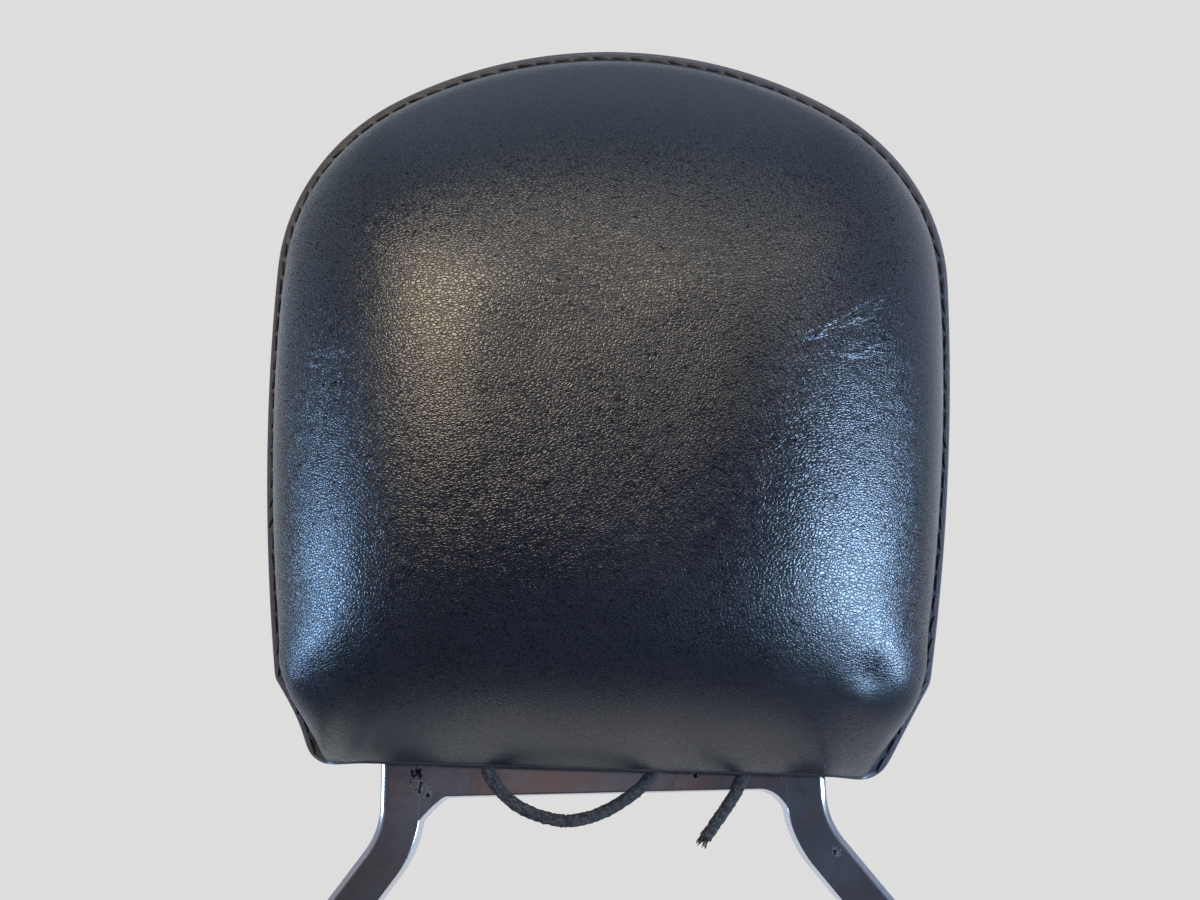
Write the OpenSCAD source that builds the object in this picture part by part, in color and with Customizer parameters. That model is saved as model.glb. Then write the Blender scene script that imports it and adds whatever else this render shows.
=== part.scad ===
// Sissy bar: a welded frame of square bar with two side plates that bolt to a motorbike,
// and a leather backrest pad that slips over the top of the frame and is laced at its mouth.
// Millimetres. X is to the right, -Y is the side the pad faces and +Z is up. The origin is
// the middle of the rear mounting bolt's axis, in the plane of the bars.

/* [Bars] */
// Side of the square bar
bar = 12.7; // [10:0.1:14]
// Radius along the bar's four long edges
bar_edge_r = 2.8; // [1:0.1:3.5]
// Distance between the centre lines of the two uprights
bar_spacing = 124.7; // [112:0.1:136]
// Height of the lower crossbar's underside above the bolts
crossbar_h = 167; // [150:1:190]
// Radius of the fillets where the lower crossbar meets the uprights
weld_r = 7; // [3:0.5:9]
// How far the uprights run up from the lower crossbar's underside
upright_rise = 218; // [195:1:222]

/* [Legs] */
// How far below the lower crossbar's underside the legs begin to bend
bend_drop = 2; // [1:1:8]
// Radius of the bends, on the bar's centre line
bend_r = 28; // [20:1:36]
// Angle at which the legs spread
flare = 38; // [32:1:45]
// Height of the legs' lower ends above the bolts
leg_end_h = 10; // [8:1:16]

/* [Side plates] */
// Clear width between the two side plates
fender_w = 260; // [240:1:280]
// Thickness of a side plate
plate_t = 6; // [4:0.5:10]
// Diameter of the mounting holes
bolt_d = 8.5; // [6.5:0.1:10.5]
// Distance between the two mounting bolts
bolt_pitch = 82; // [60:1:110]
// Radius of the plate's two lower ends
plate_end_r = 16; // [12:0.5:20]
// How far the rear end's centre lies behind the rear bolt
plate_tail = 10; // [6:1:20]
// Height of the plate's upper end above the bolts
plate_h = 56; // [46:1:66]
// Radius of the plate's upper end
plate_top_r = 11; // [9:0.5:14]

/* [Pad outline] */
// Width of the pad at its widest
pad_w = 235; // [220:1:250]
// How far the pad reaches above the top crossbar
top_reach = 47.5; // [38:0.5:60]
// How far the widest place lies below the top
crest_h = 89.5; // [85:0.5:100]
// Radius of the pad's shoulders
shoulder_r = 78.5; // [60:0.5:82]
// Width of the pad at the kinks where its sides turn in
kink_w = 212; // [200:1:218]
// Height of the kinks above the hem
kink_h = 31.5; // [24:0.5:40]
// Length of the hem between its corners
hem_w = 174; // [168:1:190]
// Height of the hem above the lower crossbar's underside
hem_rise = 6.5; // [2:0.5:10]
// How far the pad has slipped round on the bars, in degrees
pad_turn = 3; // [0:0.5:3.5]
// Height of the point that it has slipped round, above the hem
turn_rise = 32.5; // [20:0.5:60]

/* [Pad depth] */
// How far the pad's crown stands in front of the bars
crown = 53; // [44:1:60]
// Height of the crown's middle above the hem
crown_h = 112; // [100:1:130]
// How much the crown falls back from its middle to the pad's top
top_fall = 26; // [10:1:30]
// Squareness of the crown at the sides and the hem, where 2 is an ellipse
crown_power = 3.6; // [3:0.1:5]
// Squareness of the crown at the top
top_power = 2.2; // [2:0.1:3]
// Room for the lace between the bars and the hem
mouth_gap = 5.2; // [5:0.1:7]
// Thickness of the leather
leather = 2; // [1.5:0.1:2.5]
// Clearance between the foam and the leather
foam_gap = 0.8; // [0.6:0.1:1.2]

/* [Seam] */
// Width of the flat stitched edge
flange = 4.5; // [4:0.1:6]
// Distance of the stitches from the raw edge
stitch_inset = 2.4; // [2:0.1:2.6]
// Distance from one stitch to the next
stitch_pitch = 6.8; // [6:0.1:9]
// Length of one stitch
stitch_len = 5.2; // [3:0.1:5.6]
// Thickness of the thread
thread_d = 0.9; // [0.6:0.1:1.2]

/* [Board and fixings] */
// Thickness of the backboard
board_t = 8; // [6:0.5:12]
// Distance of the board's edge from the pad's raw edge
board_inset = 27; // [26:0.5:32]
// Height of the board's lower edge above the hem
board_rise = 28; // [26:0.5:40]
// Height of the lower pair of screws above the hem
screw_rise = 52; // [45:1:70]
// Distance of the upper pair of screws below the top of the frame
screw_drop = 44.5; // [30:0.5:60]
// Diameter of the screws
screw_d = 5; // [4:0.5:6]
// Clearance of the screws in their holes
screw_gap = 0.4; // [0.3:0.1:0.5]
// Diameter of the flat screw heads
screw_head_d = 9.4; // [8:0.1:10]
// Diameter of the tee nuts' flanges
nut_flange_d = 16; // [13:0.5:20]
// Thickness of the tee nuts' flanges
nut_flange_t = 1.2; // [1:0.1:2]
// Wall of the tee nuts' barrels
nut_wall = 1; // [0.8:0.1:1.5]
// Length of the tee nuts' barrels
nut_len = 5.5; // [4:0.5:6]

/* [Lace] */
// Diameter of the lace
lace_d = 4; // [3:0.1:4.2]
// Diameter of the stopper knot
knot_d = 9; // [8:0.5:12]

/* [Hidden] */
$fn = 48;
eps = 0.01;

chrome_colour = [0.62, 0.62, 0.65];
leather_colour = [0.05, 0.06, 0.08];
raw_edge_colour = [0.12, 0.1, 0.11];
foam_colour = [0.78, 0.74, 0.6];
board_colour = [0.6, 0.45, 0.28];
zinc_colour = [0.7, 0.7, 0.68];
thread_colour = [0.03, 0.03, 0.04];

// Frame of bars
half_bar = bar / 2;
upright_x = bar_spacing / 2;
leg_outer = upright_x + half_bar;
leg_inner = upright_x - half_bar;
frame_top = crossbar_h + upright_rise;
bend_h = crossbar_h - bend_drop;
foot_x = fender_w / 2 - half_bar;
spread = foot_x - upright_x;
bend_out = bend_r * (1 - cos(flare));
bend_down = bend_r * sin(flare);
slant_len = (spread - 2 * bend_out) / sin(flare);
foot_bend_h = bend_h - 2 * bend_down - slant_len * cos(flare);

// Depths, from the middle of the bars
seam_y = half_bar - leather;
back_y = half_bar;
hem_y = -half_bar - mouth_gap - leather;
board_back_y = -half_bar;
board_front_y = -half_bar - board_t;
crown_y = -half_bar - crown;

// Heights on the pad
hem_h = crossbar_h + hem_rise;
turn_h = hem_h + turn_rise;
pad_h = frame_top + top_reach - hem_h;

// Points of a circle from angle a to angle b, in n steps
function arc(c, r, a, b, n) = [for (i = [0:n]) let (t = a + (b - a) * i / n) c + r * [cos(t), sin(t)]];
function unit(v) = v / norm(v);
function flip_x(p) = [for (i = [len(p) - 1:-1:0]) [-p[i].x, p[i].y]];
function from(p, n) = [for (i = [n:len(p) - 1]) p[i]];
function smooth(t) = let (u = min(max(t, 0), 1)) u * u * (3 - 2 * u);

// Outline of the pad, seen from the front, anticlockwise from the middle of the hem
half_w = pad_w / 2;
widest_h = pad_h - crest_h;
side_in = half_w - kink_w / 2;
side_r = (side_in * side_in + pow(widest_h - kink_h, 2)) / (2 * side_in);
shoulder_c = [half_w - shoulder_r, widest_h];
top_r = (pow(shoulder_c.x, 2) + crest_h * crest_h - shoulder_r * shoulder_r) / (2 * (crest_h - shoulder_r));
top_c = [0, pad_h - top_r];
shoulder_end = atan2(shoulder_c.y - top_c.y, shoulder_c.x);
side_run = arc([half_w - side_r, widest_h], side_r, -asin((widest_h - kink_h) / side_r), 0, 8);
shoulder_run = arc(shoulder_c, shoulder_r, 0, shoulder_end, 12);
top_run = arc(top_c, top_r, shoulder_end, 90, 7);
right_seam = concat([[hem_w / 2, 0], [(hem_w + kink_w) / 4, kink_h / 2]],
    side_run, from(shoulder_run, 1), from(top_run, 1));
seam_run = concat(right_seam, from(flip_x(right_seam), 1));
flat_steps = 5;
lift_steps = 4;
right_hem = concat(
    [for (i = [0:flat_steps]) [leg_outer * i / flat_steps, 0]],
    [for (i = [1:lift_steps - 1]) [leg_outer + (hem_w / 2 - leg_outer) * i / lift_steps, 0]]);
outline = concat(right_hem, seam_run, flip_x(from(right_hem, 1)));
count = len(outline);

// The same outline moved inwards by d
function inset(p, d) = [for (i = [0:len(p) - 1])
    let (a = unit(p[i] - p[(i + len(p) - 1) % len(p)]), b = unit(p[(i + 1) % len(p)] - p[i]))
    let (m = [-a.y, a.x] + [-b.y, b.x])
    p[i] + d * 2 * m / (m * m)];

// Depth of the front panel's edge: on the seam's plane, but in front of the legs at the hem
function edge_y(p) = p.y > eps ? seam_y
    : hem_y + (seam_y - hem_y) * smooth((abs(p.x) - leg_outer) / (hem_w / 2 - leg_outer));
edge_depths = [for (p = outline) edge_y(p)];

// Depth of the crown over the pad at height h above the hem
function crown_at(h) = crown_y + top_fall * pow(max(h - crown_h, 0) / (pad_h - crown_h), 2);

// The crown grows rounder from the sides to the top
function power_at(h) = crown_power + (top_power - crown_power) * smooth((h - widest_h) / crest_h);

// An outline with its corners eased: each point becomes the mean of its neighbours
reach = 6;
function mean(p) = [for (v = p) 1] * p / len(p);
function eased(p) = [for (i = [0:count - 1])
    mean([for (k = [-reach:reach]) p[(i + k + count) % count]])];

// One ring of the crown: a superellipse from the foot at a = 0 to the middle at a = 90,
// whose outline eases as it rises
function crown_ring(foot, depths, sink, a) = let (soft = eased(foot)) [for (i = [0:count - 1])
    let (t = is_list(a) ? a[i] : a, r = pow(max(cos(t), 0), 2 / power_at(foot[i].y)))
    let (q = foot[i] + sin(t) * (soft[i] - foot[i]), h = crown_h + r * (q.y - crown_h))
    [r * q.x, depths[i] + sin(t) * (crown_at(h) + sink - depths[i]), h]];
function flat_ring(edge, depths) = [for (i = [0:count - 1]) [edge[i].x, depths[i], edge[i].y]];
function crown_tip(sink) = [0, crown_at(crown_h) + sink, crown_h];
crown_angles = [7, 14, 22, 31, 40, 50, 60, 70, 80];

// Quads between two rings that start at points a and b, and a fan from a ring to a point
function band(a, b, flip) = [for (i = [0:count - 1]) let (j = (i + 1) % count)
    flip ? [a + j, a + i, b + i, b + j] : [a + i, a + j, b + j, b + i]];
function fan(a, tip, flip) = [for (i = [0:count - 1]) let (j = (i + 1) % count)
    flip ? [a + j, a + i, tip] : [a + i, a + j, tip]];

module on_pad() {
    translate([0, 0, turn_h])
        rotate([0, pad_turn, 0])
            translate([0, 0, hem_h - turn_h])
                children();
}

// Places its children at the four screws, with +Z pointing to the front
module at_screw(n) {
    x = n % 2 == 1 ? -upright_x : upright_x;
    h = n > 2 ? frame_top - screw_drop : hem_h + screw_rise;
    translate([x, 0, h])
        rotate([90, 0, 0])
            children();
}

// A flat web between round ends, each given as [y, z, radius], in anticlockwise order
function tangent(a, b) = let (d = [b.x - a.x, b.y - a.y])
    let (t = atan2(d.y, d.x) - acos((a.z - b.z) / norm(d)))
    [[a.x, a.y] + a.z * [cos(t), sin(t)], [b.x, b.y] + b.z * [cos(t), sin(t)]];
module round_web(ends) {
    n = len(ends);
    polygon([for (i = [0:n - 1], p = tangent(ends[i], ends[(i + 1) % n])) p]);
    for (e = ends)
        translate([e.x, e.y])
            circle(e.z);
}

// Section of the bar: a square with rounded corners
module bar_section() {
    square([bar - 2 * bar_edge_r, bar], center = true);
    square([bar, bar - 2 * bar_edge_r], center = true);
    for (x = [-1, 1], y = [-1, 1])
        translate([x, y] * (half_bar - bar_edge_r))
            circle(bar_edge_r);
}

// The same section as points, [across, depth], for the bars that are bent
edge_steps = 4;
bar_corner = [1, 1] * (half_bar - bar_edge_r);
bar_ring = [for (q = [0:3], p = arc([0, 0], bar_edge_r, 90 * q, 90 * q + 90, edge_steps))
    [(q == 0 || q == 3 ? 1 : -1) * bar_corner.x, (q < 2 ? 1 : -1) * bar_corner.y] + p];

// Centre line of an upright from its top to its straight foot, each as [x, height, slant]
bend_steps = 8;
upright_line = concat(
    [[upright_x, frame_top, 0]],
    [for (i = [0:bend_steps]) let (t = flare * i / bend_steps)
        [upright_x + bend_r * (1 - cos(t)), bend_h - bend_r * sin(t), t]],
    [for (i = [bend_steps:-1:0]) let (t = flare * i / bend_steps)
        [foot_x - bend_r * (1 - cos(t)), foot_bend_h + bend_r * sin(t), t]]);

// Hole for a screw through a bar, countersunk at the back
module screw_hole() {
    cylinder(h = 4 * bar, d = screw_d + screw_gap, center = true);
    translate([0, 0, -half_bar])
        cylinder(h = (screw_head_d - screw_d) / 2, d1 = screw_head_d + screw_gap, d2 = screw_d + screw_gap);
}

// The bar's section carried down the upright's centre line, across it at every point
module upright() {
    n = len(bar_ring);
    last = len(upright_line) - 1;
    points = [for (c = upright_line, p = bar_ring)
        [c.x + p.x * cos(c.z), p.y, c.y + p.x * sin(c.z)]];
    polyhedron(points, concat(
        [[for (k = [0:n - 1]) k]],
        [[for (k = [n - 1:-1:0]) last * n + k]],
        [for (i = [0:last - 1], k = [0:n - 1]) let (j = (k + 1) % n)
            [i * n + k, (i + 1) * n + k, (i + 1) * n + j, i * n + j]]));
}

module left_upright() {
    color(chrome_colour)
        difference() {
            mirror([1, 0, 0]) upright();
            at_screw(1) screw_hole();
            at_screw(3) screw_hole();
        }
}

module right_upright() {
    color(chrome_colour)
        difference() {
            upright();
            at_screw(2) screw_hole();
            at_screw(4) screw_hole();
        }
}

// Straight end of a leg, welded to the inside of the side plate
module foot() {
    translate([foot_x, 0, leg_end_h])
        linear_extrude(foot_bend_h - leg_end_h)
            bar_section();
}

module left_foot() {
    color(chrome_colour)
        mirror([1, 0, 0]) foot();
}

module right_foot() {
    color(chrome_colour)
        foot();
}

// A bar across the frame, with its underside at height h
module crossbar(h) {
    translate([-leg_inner, 0, h + half_bar])
        rotate([0, 90, 0])
            linear_extrude(2 * leg_inner)
                bar_section();
}

module weld_fillet() {
    translate([leg_inner - weld_r, 0, crossbar_h - weld_r])
        rotate([90, 0, 0])
            linear_extrude(bar - 2 * bar_edge_r, center = true)
                difference() {
                    square(weld_r);
                    circle(weld_r);
                }
}

module top_crossbar() {
    color(chrome_colour)
        crossbar(frame_top - bar);
}

module lower_crossbar() {
    color(chrome_colour) {
        crossbar(crossbar_h);
        weld_fillet();
        mirror([1, 0, 0]) weld_fillet();
    }
}

module side_plate() {
    color(chrome_colour)
        translate([fender_w / 2, 0, 0])
            rotate([90, 0, 90])
                linear_extrude(plate_t)
                    difference() {
                        round_web([
                            [-bolt_pitch, 0, plate_end_r],
                            [plate_tail, 0, plate_end_r],
                            [0, plate_h - plate_top_r, plate_top_r]]);
                        circle(d = bolt_d);
                        translate([-bolt_pitch, 0]) circle(d = bolt_d);
                    }
}

module left_side_plate() {
    mirror([1, 0, 0]) side_plate();
}

module right_side_plate() {
    side_plate();
}

module tee_nut(n) {
    color(zinc_colour)
        at_screw(n)
            difference() {
                translate([0, 0, -board_front_y - nut_flange_t - nut_len]) {
                    cylinder(h = nut_flange_t + nut_len, d = screw_d + screw_gap + 2 * nut_wall);
                    translate([0, 0, nut_len])
                        cylinder(h = nut_flange_t, d = nut_flange_d);
                }
                cylinder(h = 4 * bar, d = screw_d + screw_gap);
            }
}

module board_screw(n) {
    color(zinc_colour)
        at_screw(n)
            translate([0, 0, -half_bar])
                difference() {
                    union() {
                        cylinder(h = bar + board_t, d = screw_d);
                        cylinder(h = (screw_head_d - screw_d) / 2, d1 = screw_head_d, d2 = screw_d);
                    }
                    translate([0, 0, -eps])
                        cylinder(h = screw_d / 2, d = screw_d * 0.6, $fn = 6);
                }
}

module backboard() {
    color(board_colour)
        difference() {
            on_pad()
                translate([0, board_back_y, 0])
                    rotate([90, 0, 0])
                        linear_extrude(board_t)
                            intersection() {
                                polygon(inset(outline, board_inset));
                                translate([-half_w, board_rise]) square([pad_w, pad_h]);
                            }
            for (n = [1:4])
                at_screw(n) {
                    cylinder(h = 4 * bar, d = screw_d + screw_gap);
                    translate([0, 0, -board_front_y - nut_flange_t - nut_len - screw_gap])
                        cylinder(h = board_t, d = screw_d + screw_gap + 2 * (nut_wall + screw_gap));
                    translate([0, 0, -board_front_y - nut_flange_t])
                        cylinder(h = board_t, d = nut_flange_d + screw_gap);
                }
        }
}

// Crowned block of foam, glued to the front of the board
module foam_block() {
    foot = inset(outline, flange + leather + foam_gap);
    depths = [for (d = edge_depths) d + leather + foam_gap];
    sink = leather + foam_gap;
    starts = [for (i = [0:count - 1])
        asin((depths[i] - board_front_y) / (depths[i] - crown_at(foot[i].y) - sink))];
    rings = [for (a = concat([0], crown_angles))
        crown_ring(foot, depths, sink, [for (s = starts) s + (90 - s) * a / 90])];
    base = [for (p = rings[0]) [p.x, board_front_y, p.z]];
    points = concat(base, [for (i = [1:len(rings) - 1], p = rings[i]) p],
        [crown_tip(sink), [0, board_front_y, crown_h]]);
    last = (len(rings) - 1) * count;
    polyhedron(points, concat(
        fan(0, last + count + 1, true),
        [for (k = [0:len(rings) - 2], f = band(k * count, (k + 1) * count, false)) f],
        fan(last, last + count, false)));
}

module foam_pad() {
    color(foam_colour)
        on_pad() foam_block();
}

// Front panel: a moulded skin with a flat stitched edge round its sides and top
module front_panel() {
    outer_foot = inset(outline, flange);
    inner_foot = inset(outline, flange + leather);
    inner_depths = [for (d = edge_depths) d + leather];
    outer = concat([flat_ring(outline, edge_depths), flat_ring(outer_foot, edge_depths)],
        [for (a = crown_angles) crown_ring(outer_foot, edge_depths, 0, a)]);
    inner = concat([flat_ring(outline, inner_depths), flat_ring(inner_foot, inner_depths)],
        [for (a = crown_angles) crown_ring(inner_foot, inner_depths, leather, a)]);
    n = len(outer);
    points = concat([for (r = outer, p = r) p], [crown_tip(0)],
        [for (r = inner, p = r) p], [crown_tip(leather)]);
    back = n * count + 1;
    polyhedron(points, concat(
        [for (k = [0:n - 2], f = band(k * count, (k + 1) * count, false)) f],
        fan((n - 1) * count, n * count, false),
        [for (k = [0:n - 2], f = band(back + k * count, back + (k + 1) * count, true)) f],
        fan(back + (n - 1) * count, back + n * count, true),
        band(0, back, true)));
}

module cover_front() {
    color(leather_colour)
        on_pad() front_panel();
}

// Slot through the back panel for the lace, from x to x + w
module lace_slot(x, w) {
    r = lace_d / 2 + lace_gap;
    translate([x, 0, lace_h])
        rotate([-90, 0, 0])
            linear_extrude(bar) {
                circle(r);
                translate([w, 0]) circle(r);
                translate([0, -r]) square([w, 2 * r]);
            }
}

module cover_back() {
    color(leather_colour)
        difference() {
            on_pad()
                translate([0, back_y + leather, 0])
                    rotate([90, 0, 0])
                        linear_extrude(leather)
                            polygon(outline);
            translate([lace_route[0].x, 0, lace_h])
                rotate([-90, 0, 0])
                    cylinder(h = bar, r = lace_d / 2 + lace_gap);
            lace_slot(slot_left, slot_w);
            lace_slot(slot_right, slot_w);
        }
}

// Distance walked along a run of points, and the place and heading after a distance s
function walked(p) = [for (i = 0, s = 0; i < len(p);
    s = s + (i < len(p) - 1 ? norm(p[i + 1] - p[i]) : 0), i = i + 1) s];
function leg_of(w, s) = max([for (i = [0:len(w) - 2]) w[i] <= s ? i : 0]);

module stitches(y0) {
    run = inset(outline, stitch_inset);
    path = [for (i = [0:len(seam_run) - 1]) run[len(right_hem) + i]];
    w = walked(path);
    whole = w[len(w) - 1];
    total = floor(whole / stitch_pitch) - 1;
    margin = (whole - total * stitch_pitch) / 2;
    for (k = [0:total]) {
        s = margin + k * stitch_pitch;
        i = leg_of(w, s);
        d = unit(path[i + 1] - path[i]);
        q = path[i] + d * (s - w[i]);
        translate([q.x, y0, q.y])
            rotate([0, -atan2(d.y, d.x), 0])
                cube([stitch_len, thread_d, thread_d], center = true);
    }
}

module seam_thread() {
    color(thread_colour)
        on_pad() {
            stitches(seam_y - thread_d / 2);
            stitches(back_y + leather + thread_d / 2);
        }
}

// Route of the lace, with heights above the lower crossbar's underside: in through the back
// panel, over the crossbar, down in a loop at the front, up behind the hem, out and in again
// at the back, and down to its cut end
lace_h = crossbar_h + 22;
lace_gap = 0.5;
slot_left = 20.5;
slot_right = 41.5;
slot_w = 4;
lace_path = [
    [-36, 8.3, 22], [-36, 4, 22], [-36, 0, 22], [-36, -4.5, 21], [-36, -8, 17.5], [-36, -9, 13],
    [-35.5, -9, 8], [-32.5, -9, 2.5], [-26.5, -9, -3], [-19, -9, -6.5], [-11.5, -9, -8],
    [-4, -9, -7], [3.5, -9, -4], [10.5, -9, 0.5], [15.5, -9, 5.5], [18.5, -9, 10], [20, -8.5, 15],
    [20, -6, 19.5], [20, -2, 22], [20, 3, 22], [21.5, 7.5, 22], [25, 10.5, 22], [29, 11, 22],
    [33, 11, 22], [37, 11, 22], [41, 10.5, 22], [44.5, 7.5, 22], [46, 3, 22], [46, -2, 22],
    [46, -6, 19.5], [46, -8.5, 15], [45.5, -9, 10], [43.5, -9, 5], [40, -9, -1.5],
    [35.5, -9, -7.5], [30.5, -9, -14]
];
lace_route = [for (p = lace_path) p + [0, 0, crossbar_h]];
lace_sides = 10;

// Tube swept along a route: each ring lies across the mean of its two neighbours' headings
function headings(p) = [for (i = [0:len(p) - 1])
    unit(p[min(i + 1, len(p) - 1)] - p[max(i - 1, 0)])];
function carried(t) = [for (i = 0, n = [0, 0, 1]; i < len(t); i = i + 1,
    n = i < len(t) ? unit(n - (n * t[i]) * t[i]) : n) unit(n - (n * t[i]) * t[i])];
module tube(p, d, sides) {
    t = headings(p);
    n = carried(t);
    points = [for (i = [0:len(p) - 1], k = [0:sides - 1])
        p[i] + d / 2 * (cos(360 * k / sides) * n[i] + sin(360 * k / sides) * cross(t[i], n[i]))];
    last = (len(p) - 1) * sides;
    polyhedron(points, concat(
        [[for (k = [0:sides - 1]) k]],
        [[for (k = [sides - 1:-1:0]) last + k]],
        [for (i = [0:len(p) - 2], k = [0:sides - 1]) let (j = (k + 1) % sides)
            [i * sides + k, (i + 1) * sides + k, (i + 1) * sides + j, i * sides + j]]));
}

module lace() {
    color(leather_colour)
        tube(lace_route, lace_d, lace_sides);
}

module lace_knot() {
    color(leather_colour)
        translate([lace_route[0].x, back_y + leather, lace_h])
            rotate([-90, 0, 0])
                rotate_extrude()
                    intersection() {
                        translate([0, knot_d / 4]) circle(d = knot_d);
                        square(knot_d);
                    }
}

module board_screw_1() { board_screw(1); }
module board_screw_2() { board_screw(2); }
module board_screw_3() { board_screw(3); }
module board_screw_4() { board_screw(4); }
module tee_nut_1() { tee_nut(1); }
module tee_nut_2() { tee_nut(2); }
module tee_nut_3() { tee_nut(3); }
module tee_nut_4() { tee_nut(4); }

left_upright();
right_upright();
left_foot();
right_foot();
top_crossbar();
lower_crossbar();
left_side_plate();
right_side_plate();
backboard();
foam_pad();
cover_front();
cover_back();
seam_thread();
lace();
lace_knot();
board_screw_1();
board_screw_2();
board_screw_3();
board_screw_4();
tee_nut_1();
tee_nut_2();
tee_nut_3();
tee_nut_4();
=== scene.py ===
# %% [markdown]
# # A sissy bar, dressed for the camera
# The part is a chromed frame of square bar that bolts to the back of a motorbike, with a
# padded leather backrest pulled over its top and laced at the mouth. The CAD frame fixes
# every size. This lesson builds what the eye sees around it: smooth bent bars, a stuffed
# leather pad with its sewn seam, a rough leather lace, and the finish of each.

import math
import bmesh
import bpy
import numpy as np
from mathutils import Matrix, Vector


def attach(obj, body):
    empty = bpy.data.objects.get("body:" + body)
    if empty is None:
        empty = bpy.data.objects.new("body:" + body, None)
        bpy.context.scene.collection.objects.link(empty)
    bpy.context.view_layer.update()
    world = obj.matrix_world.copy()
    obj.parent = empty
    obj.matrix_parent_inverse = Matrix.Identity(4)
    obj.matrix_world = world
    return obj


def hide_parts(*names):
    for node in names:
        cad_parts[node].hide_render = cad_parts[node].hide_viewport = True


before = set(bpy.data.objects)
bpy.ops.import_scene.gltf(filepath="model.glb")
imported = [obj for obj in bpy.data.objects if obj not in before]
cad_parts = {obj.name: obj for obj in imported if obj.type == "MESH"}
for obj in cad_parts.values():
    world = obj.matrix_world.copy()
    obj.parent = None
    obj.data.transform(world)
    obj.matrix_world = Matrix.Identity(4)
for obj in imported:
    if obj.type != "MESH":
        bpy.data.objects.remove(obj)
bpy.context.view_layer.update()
MM = 0.001
rng = np.random.default_rng(7)

# %% [markdown]
# ## The camera
# The photograph looks up at the pad from a little below its lower edge, from 43 cm away.
# A 40 mm lens on a 36 mm sensor gives its perspective, and the frame leans by 1.4 degrees
# in the picture, because the camera was held a little crooked.

# %% Camera
CAMERA_PLACE = (1.6, -428.5, 155.4)
CAMERA_PITCH = 16.0
CAMERA_ROLL = 1.4

camera = bpy.data.objects.new("camera", bpy.data.cameras.new("camera"))
bpy.context.scene.collection.objects.link(camera)
camera.data.lens = 40
camera.data.sensor_width = 36
camera.data.clip_start = 0.01
turn = Matrix.Rotation(math.radians(90 + CAMERA_PITCH), 4, "X")
camera.matrix_world = (Matrix.Translation(Vector(CAMERA_PLACE) * MM) @ turn
                       @ Matrix.Rotation(math.radians(-CAMERA_ROLL), 4, "Z"))
bpy.context.scene.camera = camera
print("camera at", [round(v, 3) for v in camera.location])

# %% [markdown]
# ## Writing materials as sums
# A material is a graph of small nodes. Written out socket by socket it is hard to read, so
# one class wraps a socket and lets it be added, multiplied and raised like a number. Every
# other node comes from one method, which sets the node's own options first and then fills
# or links its sockets.


# %% Sockets that can be written in sums
class Wire:
    """One output socket of a node tree. Arithmetic on it adds Math nodes to the tree."""

    def __init__(self, tree, socket):
        self.tree, self.socket = tree, socket

    def math(self, operation, *terms):
        return node(self.tree, "Math", {"operation": operation}, dict(enumerate(terms)))

    def __add__(self, other):
        return self.math("ADD", self, other)

    def __sub__(self, other):
        return self.math("SUBTRACT", self, other)

    def __rsub__(self, other):
        return self.math("SUBTRACT", other, self)

    def __mul__(self, other):
        return self.math("MULTIPLY", self, other)

    def __truediv__(self, other):
        return self.math("DIVIDE", self, other)

    def __pow__(self, other):
        return self.math("POWER", self, other)

    __radd__, __rmul__ = __add__, __mul__

    def rise(self, low, high):
        """0 below low, 1 above high and a smooth slope between; low may be the larger."""
        options = {"interpolation_type": "SMOOTHSTEP"}
        return node(self.tree, "MapRange", options, {0: self, 1: low, 2: high})


def node(tree, kind, options=None, sockets=None, out=0):
    """Adds one node: its own options first, then the links or values of its sockets."""
    made = tree.nodes.new("ShaderNode" + kind)
    for key, value in (options or {}).items():
        setattr(made, key, value)
    for key, value in (sockets or {}).items():
        if isinstance(value, Wire):
            tree.links.new(value.socket, made.inputs[key])
        elif isinstance(value, tuple) and made.inputs[key].type == "RGBA":
            made.inputs[key].default_value = (*value, 1)
        else:
            made.inputs[key].default_value = value
    return Wire(tree, made.outputs[out]) if len(made.outputs) else None


def mix(tree, share, first, second):
    """A colour between two others; share 0 gives the first and 1 the second."""
    return node(tree, "Mix", {"data_type": "RGBA"}, {0: share, 6: first, 7: second}, out=2)


def place(tree, scale=(1, 1, 1), turn=0.0, shift=(0, 0, 0)):
    """A point of the piece in millimetres, turned in the plane that faces the camera and scaled."""
    here = node(tree, "TexCoord", out=3)
    size = tuple(s / MM for s in scale)
    options = {"vector_type": "POINT"}
    return node(tree, "Mapping", options, {0: here, 1: shift, 2: (0, math.radians(turn), 0), 3: size})


def noise(tree, point, scale, detail=3.0, rough=0.5, distortion=0.0, out=0):
    return node(tree, "TexNoise", {}, {"Vector": point, "Scale": scale, "Detail": detail, "Roughness": rough,
                                       "Distortion": distortion}, out)


def cells(tree, point, scale, feature="F1"):
    return node(tree, "TexVoronoi", {"feature": feature}, {"Vector": point, "Scale": scale})


def bump(tree, height, distance, strength=1.0):
    """The surface pushed out by a height of 0 to 1 times a distance in millimetres."""
    return node(tree, "Bump", {}, {"Height": height, "Distance": distance * MM, "Strength": strength})


def finish(name, build):
    """A material whose Principled shader takes the sockets that build(tree) returns. A socket
    named gap is the share of painted shade: a near-black diffuse shader is mixed in there,
    which darkens deep narrow places."""
    material = bpy.data.materials.new(name)
    material.use_nodes = True
    tree = material.node_tree
    tree.nodes.clear()
    sockets = build(tree)
    gap = sockets.pop("gap", None)
    shader = node(tree, "BsdfPrincipled", {}, sockets)
    if gap is not None:
        # Painted shade: a near-black shader, mixed in by the gap share.
        hollow = node(tree, "BsdfDiffuse", {}, {"Color": (0.002, 0.002, 0.003)})
        shader = node(tree, "MixShader", {}, {0: gap, 1: shader, 2: hollow})
    node(tree, "OutputMaterial", {}, {"Surface": shader})
    print("finish", name, "with", len(tree.nodes), "nodes")
    return material


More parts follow.
